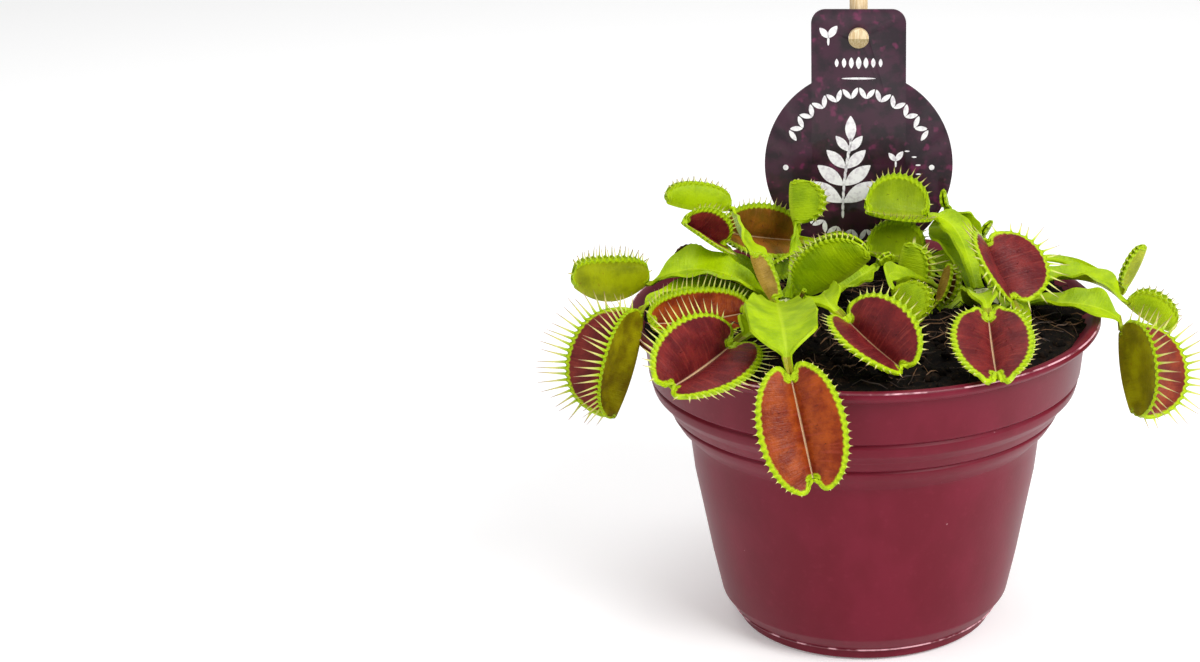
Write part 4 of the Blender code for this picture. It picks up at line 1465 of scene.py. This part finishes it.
LEAVES = (
    FlytrapLeaf(
        "leaf_front_hanging", "main", base=(-98, 40), neck=(-13.5, -44.5, 68.5), aim=(-57, -67), twist=12,
        length=18.0, depth=8.4, opening=66, curl=2, wing=6.6, via=(-14.0, -38.5, 73.5), overhang=1.32,
        stain=Stain.RUSTY, tooth=0.9,
    ),
    FlytrapLeaf(
        "leaf_front_right", "main", base=(-26, 33), neck=(-4.9, -26.8, 70.8), aim=(-44, -23), twist=-20,
        length=14.0, depth=9.3, opening=48, curl=0, wing=3.2, overhang=1.34, stain=Stain.MAROON, tooth=2.2,
    ),
    FlytrapLeaf(
        "leaf_front_left", "main", base=(-112, 20), neck=(-22.0, -25.2, 65.4), aim=(-121, -6), twist=-25,
        length=17.8, depth=9.6, opening=58, curl=0, wing=3.4, overhang=1.42, stain=Stain.MAROON, tooth=3.7,
    ),
    FlytrapLeaf(
        "leaf_far_left_hanging", "main", base=(-198, 37), neck=(-41.0, -15.1, 67.5), aim=(-123, -62),
        twist=61, length=19.2, depth=12.8, opening=43, curl=-6, wing=3.0, via=(-36.5, -4.0, 67.0),
        overhang=1.09, stain=Stain.OLD, tooth=5.6, tooth_lean=34.0,
    ),
    FlytrapLeaf(
        "leaf_left_half_shut", "main", base=(194, 56), neck=(-40.5, 1.5, 66.5), aim=(-160, 5), twist=-11,
        length=13.1, depth=8.0, opening=34, curl=-52, wing=5.6, via=(-33.0, 0.0, 72.5), bow=0.20, roll=-16,
        stain=Stain.HALF_OLIVE, tooth=2.6,
    ),
    FlytrapLeaf(
        "leaf_left_low", "main", base=(-160, 35), neck=(-21.0, -2.0, 62.0), aim=(-141, 7), twist=-33,
        length=20.7, depth=6.2, opening=70, curl=-25, wing=3.0, stain=Stain.RUSTY, tooth=3.2,
    ),
    FlytrapLeaf(
        "leaf_back_left_shut", "main", base=(154, 75), neck=(-25.5, 15.5, 77.0), aim=(-155, 14), twist=42,
        length=12.1, depth=5.0, opening=30, curl=-50, wing=3.6, via=(-23.5, 8.5, 70.0), tooth=1.4,
    ),
    FlytrapLeaf(
        "leaf_back_left_small", "main", base=(135, 56), neck=(-26.5, 9.0, 71.0), aim=(-134, 35), twist=4,
        length=11.7, depth=6.0, opening=42, curl=-10, wing=2.4, via=(-22.0, 4.5, 66.0), stain=Stain.MAROON,
        tooth=1.5,
    ),
    FlytrapLeaf(
        "leaf_back_open", "main", base=(84, 36), neck=(-12.5, 27.5, 66.5), aim=(-151, 15), twist=-22,
        length=16.1, depth=7.2, opening=49, curl=0, wing=4.0, lead=0.15, approach=0.85, stain=Stain.BROWNISH,
        tooth=1.6,
    ),
    FlytrapLeaf(
        "leaf_back_upright", "main", base=(55, 75), neck=(-13.5, 17.5, 72.5), aim=(100, 68), twist=100,
        length=7.5, depth=6.8, opening=20, curl=-20, wing=1.2, tooth=1.2,
    ),
    FlytrapLeaf(
        "leaf_back_young", "main", base=(92, 57), neck=(-12.5, 17.0, 67.5), aim=(-124, 0), twist=-57,
        length=9.0, depth=3.8, opening=56, curl=-20, wing=1.4, lead=0.15, approach=1.0, tooth=1.0,
    ),
    FlytrapLeaf(
        "leaf_centre_shut", "main", base=(12, 54), neck=(-12.0, 2.0, 63.5), aim=(-28, 36), twist=-14,
        length=15.6, depth=8.6, opening=34, curl=-62, wing=2.6, lead=0.15, approach=0.15, tooth=2.2,
    ),
    FlytrapLeaf(
        "leaf_centre_broad", "main", base=(9, 28), neck=(2.0, 6.5, 68.0), aim=(20, 24), twist=32, length=3.1,
        depth=2.0, opening=30, curl=-50, wing=3.8, tooth=0.8,
    ),
    FlytrapLeaf(
        "leaf_centre_bud", "main", base=(-112, 70), neck=(-17.0, -5.0, 64.5), aim=(150, 62), twist=-3,
        length=8.5, depth=3.0, opening=24, curl=-44, wing=1.2, stain=Stain.BLUSHED, tooth=0.8,
    ),
    FlytrapLeaf(
        "leaf_rear_hood", "side", base=(126, 65), neck=(13.5, 23.5, 73.0), aim=(-165, 9), twist=-19,
        length=11.8, depth=8.2, opening=62, curl=-35, wing=3.2, stain=Stain.PALE,
    ),
    FlytrapLeaf(
        "leaf_rear_arch", "side", base=(140, 21), neck=(12.5, 24.5, 64.0), aim=(-159, 13), twist=-26,
        length=11.4, depth=7.4, opening=55, curl=-30, wing=3.0, stain=Stain.PALE,
    ),
    FlytrapLeaf(
        "leaf_rear_pale", "side", base=(114, 43), neck=(16.5, 27.0, 73.5), aim=(-142, 74), twist=-43,
        length=3.0, depth=2.2, opening=25, curl=-40, wing=5.2, tooth=0.0,
    ),
    FlytrapLeaf(
        "leaf_middle_upright", "side", base=(168, 47), neck=(6.5, 8.0, 61.5), aim=(53, 75), twist=-10,
        length=8.8, depth=6.8, opening=27, curl=-20, wing=2.2, stain=Stain.PINK, tooth=3.0,
    ),
    FlytrapLeaf(
        "leaf_middle_round", "side", base=(198, 30), neck=(5.0, -9.5, 69.5), aim=(-55, -44), twist=-34,
        length=7.0, depth=6.9, opening=32, curl=-55, wing=2.0, tooth=0.9,
    ),
    FlytrapLeaf(
        "leaf_middle_young", "side", base=(200, 64), neck=(13.5, -0.5, 62.0), aim=(64, 53), twist=-63,
        length=7.4, depth=4.0, opening=34, curl=-40, wing=1.8, lead=0.15, approach=0.45, stain=Stain.BLUSHED,
        tooth=1.2,
    ),
    FlytrapLeaf(
        "leaf_right_open", "side", base=(-3, 59), neck=(28.5, -9.9, 65.2), aim=(123, 45), twist=-151,
        length=11.9, depth=10.8, opening=62, curl=0, wing=2.4, overhang=1.34, lead=0.15, stain=Stain.MAROON,
        tooth=4.3,
    ),
    FlytrapLeaf(
        "leaf_right_heart", "side", base=(-111, 24), neck=(22.2, -22.6, 69.8), aim=(-87, -19), twist=16,
        length=15.5, depth=7.9, opening=67, curl=0, wing=2.6, overhang=1.31, stain=Stain.MAROON, tooth=1.4,
        shoulder=1.28,
    ),
    FlytrapLeaf(
        "leaf_far_right_green", "side", base=(-1, 33), neck=(49.5, 3.0, 62.5), aim=(-7, -31), twist=-15,
        length=9.3, depth=5.6, opening=32, curl=-45, wing=4.8, via=(43.5, 11.0, 67.0), tooth=1.4,
    ),
    FlytrapLeaf(
        "leaf_far_right_bud", "side", base=(40, 52), neck=(50.5, 11.0, 61.5), aim=(-9, 68), twist=69,
        length=8.5, depth=3.4, opening=16, curl=-28, wing=0.9, via=(40.5, 21.0, 67.5), stain=Stain.TIPPED,
        tooth=0.7,
    ),
    FlytrapLeaf(
        "leaf_far_right_hanging", "side", base=(-46, 20), neck=(48.0, -6.9, 62.2), aim=(-75, -60), twist=20,
        length=14.7, depth=13.3, opening=44, curl=-6, wing=4.4, via=(42.0, -10.0, 68.0), overhang=1.3,
        stain=Stain.OLD_RUSTY, tooth=5.2, tooth_lean=30.0,
    ),
    FlytrapLeaf(
        "leaf_rear_blade", "side", base=(59, 28), neck=(23.5, 26.5, 67.5), aim=(-38, 60), twist=-23,
        length=3.3, depth=2.0, opening=25, curl=-40, wing=3.4, tooth=0.0,
    ),
    FlytrapLeaf(
        "leaf_old_dark", "main", base=(159, 20), neck=(-30.0, 10.0, 69.0), aim=(-150, 6), twist=12,
        length=6.0, depth=3.0, opening=22, curl=-30, wing=1.4, stain=Stain.BLUSHED, tooth=0.0, withered=True,
    ),
    FlytrapLeaf(
        "leaf_red_bud", "main", base=(-62, 62), neck=(-12.5, -3.5, 64.5), aim=(-60, 50), twist=-30,
        length=2.6, depth=1.1, opening=20, curl=-30, wing=0.8, stain=Stain.BLUSHED, tooth=0.0,
    ),
)


# ----------------------------------------------------------------------------------------------------------
# Label, stake and peg


@dataclass
class PlantLabel:
    """A round-headed card label on a stake: die-cut card with white print, held by a peg through its neck."""

    card: bpy.types.Material
    ink: bpy.types.Material
    wood: bpy.types.Material
    foot: tuple[float, float, float] = (-1.2, 31.0, 60.0)
    lean: float = 6.0
    disc_radius: float = 18.8
    disc_height: float = 20.9
    neck_width: float = 18.8
    top: float = 51.9
    corner: float = 2.8
    thickness: float = 0.8
    peg_radius: float = 2.0
    peg_height: float = 46.3
    peg_tip: float = 3.2
    stake_radius: float = 1.8
    stake_bottom: float = 41.5
    stake_top: float = 115.0
    gap: float = 0.3
    ink_depth: float = 0.05

    def build(self) -> None:
        """Model the card, its print, the peg and the stake, and dress them."""
        self.deliver(self.make_card(), self.card, 20.0, "printed_card", "plant_label")
        self.deliver(join(self.print_marks(), "label_print"), self.ink, 35.0, "printed_card")
        self.deliver(self.make_peg(), self.wood, 35.0, "birch", "label_peg")
        self.deliver(self.make_stake(), self.wood, 35.0, "birch", "label_stake")

    def deliver(
        self, obj: bpy.types.Object, finish: bpy.types.Material, angle: float, slot: str, *nodes: str
    ) -> None:
        """Lean back a piece that was modelled about the label's foot, dress it and hand it over.

        Args:
            obj: The piece.
            finish: Its material.
            angle: Edges sharper than this many degrees stay crisp.
            slot: The record's material slot.
            nodes: The CAD nodes that it replaces.
        """
        place = Matrix.Translation(self.foot) @ Matrix.Rotation(radians(-self.lean), 4, "X")
        obj.data.transform(in_metres(place))
        dress(obj, finish)
        hand_over(obj, angle, slot, *nodes)

    def make_card(self) -> bpy.types.Object:
        """The card: a disc joined to a neck with rounded corners, with a punched hole."""
        upright = Matrix.Translation((0.0, 0.0, self.disc_height)) @ TO_FRONT
        card = rod("label_card", self.disc_radius, self.thickness, upright, 160)
        low = self.disc_height
        neck = block(
            "label_neck", (self.neck_width, self.thickness, self.top - low), (0.0, 0.0, (self.top + low) / 2)
        )
        self.round_top_corners(neck)
        boolean(card, neck, "UNION")
        hole = Matrix.Translation((0.0, 0.0, self.peg_height)) @ TO_FRONT
        boolean(card, rod("hole_punch", self.peg_radius + 0.03, 6.0, hole, 48))
        round_edges(card, 50, 0.14, 2)
        return card

    def round_top_corners(self, neck: bpy.types.Object) -> None:
        """Round the neck's two upper corners."""
        take(neck)
        bpy.ops.object.mode_set(mode="EDIT")
        bpy.ops.mesh.select_mode(type="EDGE")
        bpy.ops.mesh.select_all(action="DESELECT")
        bpy.ops.object.mode_set(mode="OBJECT")
        for edge in neck.data.edges:
            ends = [neck.data.vertices[index].co for index in edge.vertices]
            high = all(end.z > (self.top - 0.1) * MM for end in ends)
            edge.select = high and abs(ends[0].y - ends[1].y) > self.thickness * 0.5 * MM
        bpy.ops.object.mode_set(mode="EDIT")
        bpy.ops.mesh.bevel(offset=self.corner * MM, segments=12, affect="EDGES")
        bpy.ops.mesh.select_mode(type="VERT")
        bpy.ops.object.mode_set(mode="OBJECT")

    def stamp(
        self, across: float, up: float, length: float, width: float, angle: float, point: float
    ) -> bpy.types.Object:
        """One printed mark on the card's face: an oval that is more pointed the higher point is.

        Args:
            across: The mark's middle to the right of the label's middle line, in millimetres.
            up: The mark's middle above the label's foot.
            length: The mark's length.
            width: The mark's width.
            angle: The angle of its length from level, in degrees.
            point: 0 for an oval and 1 for a leaf shape.

        Returns:
            The mark.
        """
        start_alone()
        bpy.ops.mesh.primitive_cylinder_add(vertices=28, radius=1.0, depth=self.ink_depth * 2)
        mark = named("print_mark")
        for vert in mark.data.vertices:
            along = vert.co.x
            slim = 1.0 - point * along * along * 0.62
            vert.co = Vector((along * length / 2, vert.co.y * width / 2 * slim, vert.co.z))
        face = Matrix.Translation((across, -self.thickness / 2, up))
        tilt = Matrix.Rotation(radians(-angle), 4, "Y") @ TO_FRONT
        mark.data.transform(Matrix.Scale(MM, 4) @ face @ tilt)
        return mark

    def print_marks(self) -> list[bpy.types.Object]:
        """All the white print: a sprig, an arched border of small leaves, dots and a rule."""
        marks = self.sprig(-3.2, self.disc_height - 10.0, 20.0, 4)
        marks += self.border()
        marks += self.sprout(-6.0, self.top - 5.0, 3.4)
        marks += self.sprout(7.4, self.disc_height + 1.2, 2.8)
        for step in range(6):
            turn = radians(62 - 24 * step)
            across, up = 7.6 + 4.4 * cos(turn), self.disc_height - 1.2 + 4.4 * sin(turn)
            marks.append(self.stamp(across, up, 1.0, 0.32, 0, 0))
        for beside in (-14.6, 14.6):
            marks.append(self.stamp(beside, self.disc_height - 0.6, 1.1, 1.1, 0, 0))
        for step in range(-3, 4):
            height = 2.4 - 0.25 * abs(step)
            marks.append(self.stamp(step * 1.45, self.top - 10.6, height, height * 0.46, 90, 0.7))
        marks.append(self.stamp(0.0, self.top - 13.7, 6.8, 0.4, 0, 0))
        return marks

    def sprig(self, across: float, up: float, height: float, pairs: int) -> list[bpy.types.Object]:
        """A plain sprig: a slightly bent stem with pairs of leaves and one at its tip.

        Args:
            across: Its foot to the right of the middle line, in millimetres.
            up: Its foot above the label's foot.
            height: How tall it stands.
            pairs: How many pairs of leaves it has.

        Returns:
            Its marks.
        """
        marks = []
        steps = 12
        for step in range(steps):
            share = step / (steps - 1)
            beside = across + self.stem_bend(share)
            marks.append(self.stamp(beside, up + height * 0.72 * share, 1.9, 0.55, 90, 0.2))
        for pair in range(pairs):
            share = 0.16 + 0.74 * pair / (pairs - 1)
            size = 7.8 - 1.25 * pair
            for side in (-1, 1):
                tilt = 90 - side * (58 - 6 * pair)
                reach = size * 0.52
                beside = across + self.stem_bend(share) + reach * cos(radians(tilt))
                above = up + height * 0.70 * share + reach * sin(radians(tilt))
                marks.append(self.stamp(beside, above, size, size * 0.42, tilt, 0.9))
        marks.append(self.stamp(across + self.stem_bend(1.0), up + height * 0.86, 5.2, 2.2, 90, 0.9))
        return marks

    @staticmethod
    def stem_bend(share: float) -> float:
        """How far the sprig's stem has bent sideways at a share of its height, in millimetres."""
        return 1.6 * share * share

    def sprout(self, across: float, up: float, size: float) -> list[bpy.types.Object]:
        """A small two-leaved seedling."""
        return [
            self.stamp(across - size * 0.24, up + size * 0.1, size * 0.8, size * 0.38, 132, 0.8),
            self.stamp(across + size * 0.24, up + size * 0.16, size * 0.9, size * 0.42, 52, 0.8),
            self.stamp(across, up - size * 0.38, size * 0.5, size * 0.14, 90, 0.0),
        ]

    def border(self) -> list[bpy.types.Object]:
        """Small leaves that follow the disc's edge, along its upper and its lower arc."""
        marks = []
        radius = self.disc_radius * 0.765
        for first, last, count in ((24.0, 156.0, 22), (204.0, 336.0, 22)):
            for step in range(count):
                angle = first + (last - first) * step / (count - 1)
                tilt = angle + (58 if step % 2 else 122) - 90
                across = radius * cos(radians(angle))
                up = self.disc_height + radius * sin(radians(angle))
                marks.append(self.stamp(across, up, 2.5, 1.0, tilt, 0.6))
        return marks

    def make_peg(self) -> bpy.types.Object:
        """The peg: a short dowel with a domed end and a whittled facet, run back to the stake."""
        back = self.thickness / 2
        length = self.peg_tip + back
        middle = Matrix.Translation((0.0, (back - self.peg_tip) / 2, self.peg_height))
        peg = rod("wooden_peg", self.peg_radius, length, middle @ TO_FRONT, 40)
        edit_all(peg)
        bpy.ops.mesh.bisect(
            plane_co=(0.0, -(self.peg_tip - 0.2) * MM, (self.peg_height - 0.1) * MM),
            plane_no=(0.0, -0.80, -0.60),
            use_fill=True,
            clear_outer=True,
        )
        bpy.ops.object.mode_set(mode="OBJECT")
        round_edges(peg, 24, 0.35, 3)
        return peg

    def make_stake(self) -> bpy.types.Object:
        """The stake: a plain turned dowel behind the card, with a rounded top and a point in the peat."""
        offset = self.thickness / 2 + self.gap + self.stake_radius
        low = self.stake_bottom - self.foot[2]
        high = self.stake_top - self.foot[2]
        tip, body = 0.3, self.stake_radius
        stake = turned(
            "wooden_stake",
            [
                (tip, low),
                (body, low + 5.0),
                (body, (low + high) / 2),
                (body, high - 1.0),
                (body * 0.82, high - 0.25),
                (body * 0.4, high),
            ],
            40,
        )
        stake.data.transform(Matrix.Translation((0.0, offset * MM, 0.0)))
        return stake


# ----------------------------------------------------------------------------------------------------------
# Studio


@dataclass
class Studio:
    """A pale floor, soft lights and the camera."""

    eye: tuple[float, float, float] = (0.0, -459.7, 224.4)
    target: tuple[float, float, float] = (0.0, 0.0, 57.3)
    lens: float = 76.77
    shift: float = -0.2206
    sensor: float = 36.0
    lights_aim: tuple[float, float, float] = (0.0, 0.0, 50.0)
    floor_size: float = 6000.0
    floor_drop: float = 0.2
    floor_tone: str = "#fbfbfb"
    floor_glow: float = 0.2
    air: str = "#ffffff"
    air_strength: float = 0.38

    def build(self) -> None:
        """Lay the floor, hang the lights and set the camera."""
        self.lay_floor()
        self.soft_light("key_light", (430.0, -480.0, 560.0), 380.0, 5.6)
        self.soft_light("fill_light", (-560.0, -380.0, 360.0), 600.0, 1.1)
        self.soft_light("side_light", (640.0, -60.0, 360.0), 160.0, 0.4)
        self.soft_light("top_light", (-60.0, 120.0, 760.0), 620.0, 2.6)
        self.light_the_air()
        self.set_camera()
        bpy.context.scene.view_settings.view_transform = "Standard"

    def lay_floor(self) -> None:
        """A plain pale floor just under the pot's foot."""
        start_alone()
        place = (0.0, 0.0, -self.floor_drop * MM)
        bpy.ops.mesh.primitive_plane_add(size=self.floor_size * MM, location=place)
        floor = settle(named("pale_floor"))
        look = Shading("pale_floor")
        look.set("Base Color", self.floor_tone)
        look.set("Emission Color", self.air)
        look.set("Emission Strength", self.floor_glow)
        look.set("Roughness", 0.9)
        look.set("Specular IOR Level", 0.1)
        dress(floor, look.material)

    def soft_light(self, name: str, place: tuple[float, float, float], size: float, watts: float) -> None:
        """Hang a square soft light that faces the plant.

        Args:
            name: The light's name.
            place: Its place, in millimetres.
            size: Its side, in millimetres.
            watts: Its power.
        """
        data = bpy.data.lights.new(name, "AREA")
        data.size = size * MM
        data.energy = watts
        lamp = bpy.data.objects.new(name, data)
        lamp.location = Vector(place) * MM
        aim = Vector(self.lights_aim) - Vector(place)
        lamp.rotation_euler = aim.to_track_quat("-Z", "Y").to_euler()
        bpy.context.scene.collection.objects.link(lamp)

    def light_the_air(self) -> None:
        """Fill the surroundings with even white light."""
        world = bpy.data.worlds.new("white_surroundings")
        world.use_nodes = True
        background = world.node_tree.nodes["Background"]
        background.inputs["Color"].default_value = linear(self.air)
        background.inputs["Strength"].default_value = self.air_strength
        bpy.context.scene.world = world

    def set_camera(self) -> None:
        """Stand the camera in front of the pot, looking a little down."""
        data = bpy.data.cameras.new("camera")
        data.lens = self.lens
        data.sensor_width = self.sensor
        data.shift_x = self.shift
        data.clip_start = 0.01
        camera = bpy.data.objects.new("camera", data)
        camera.location = Vector(self.eye) * MM
        aim = Vector(self.target) - Vector(self.eye)
        camera.rotation_euler = aim.to_track_quat("-Z", "Y").to_euler()
        bpy.context.scene.collection.objects.link(camera)
        bpy.context.scene.camera = camera


def main() -> None:
    """Build every piece in order."""
    logging.basicConfig(level=logging.INFO, format="%(name)s: %(message)s")
    NurseryPot(MouldedPolypropylene().make(), PaleMouldLines().make()).build()
    PeatBed(Peat().make(), PeatFibre().make()).build()
    rhizome = RhizomeTissue().make()
    for crown in CROWNS.values():
        crown.build(rhizome)
    tooth_finish = ToothTissue().make()
    upper, under = LeafTissue("leaf_upper_side", True).make(), LeafTissue("leaf_under_side", False).make()
    finishes = LeafFinishes(upper, under, tooth_finish, WitheredTissue().make())
    tooth = tooth_template(tooth_finish, 0.0, 1.1)
    hair = tooth_template(tooth_finish, 2.0, 0.0)
    for leaf in LEAVES:
        leaf.build(finishes, tooth, hair)
    discard(tooth, hair)
    PlantLabel(PrintedCard().make(), WhiteInk().make(), Birch().make()).build()
    Studio().build()
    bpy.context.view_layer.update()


if __name__ == "__main__":
    main()
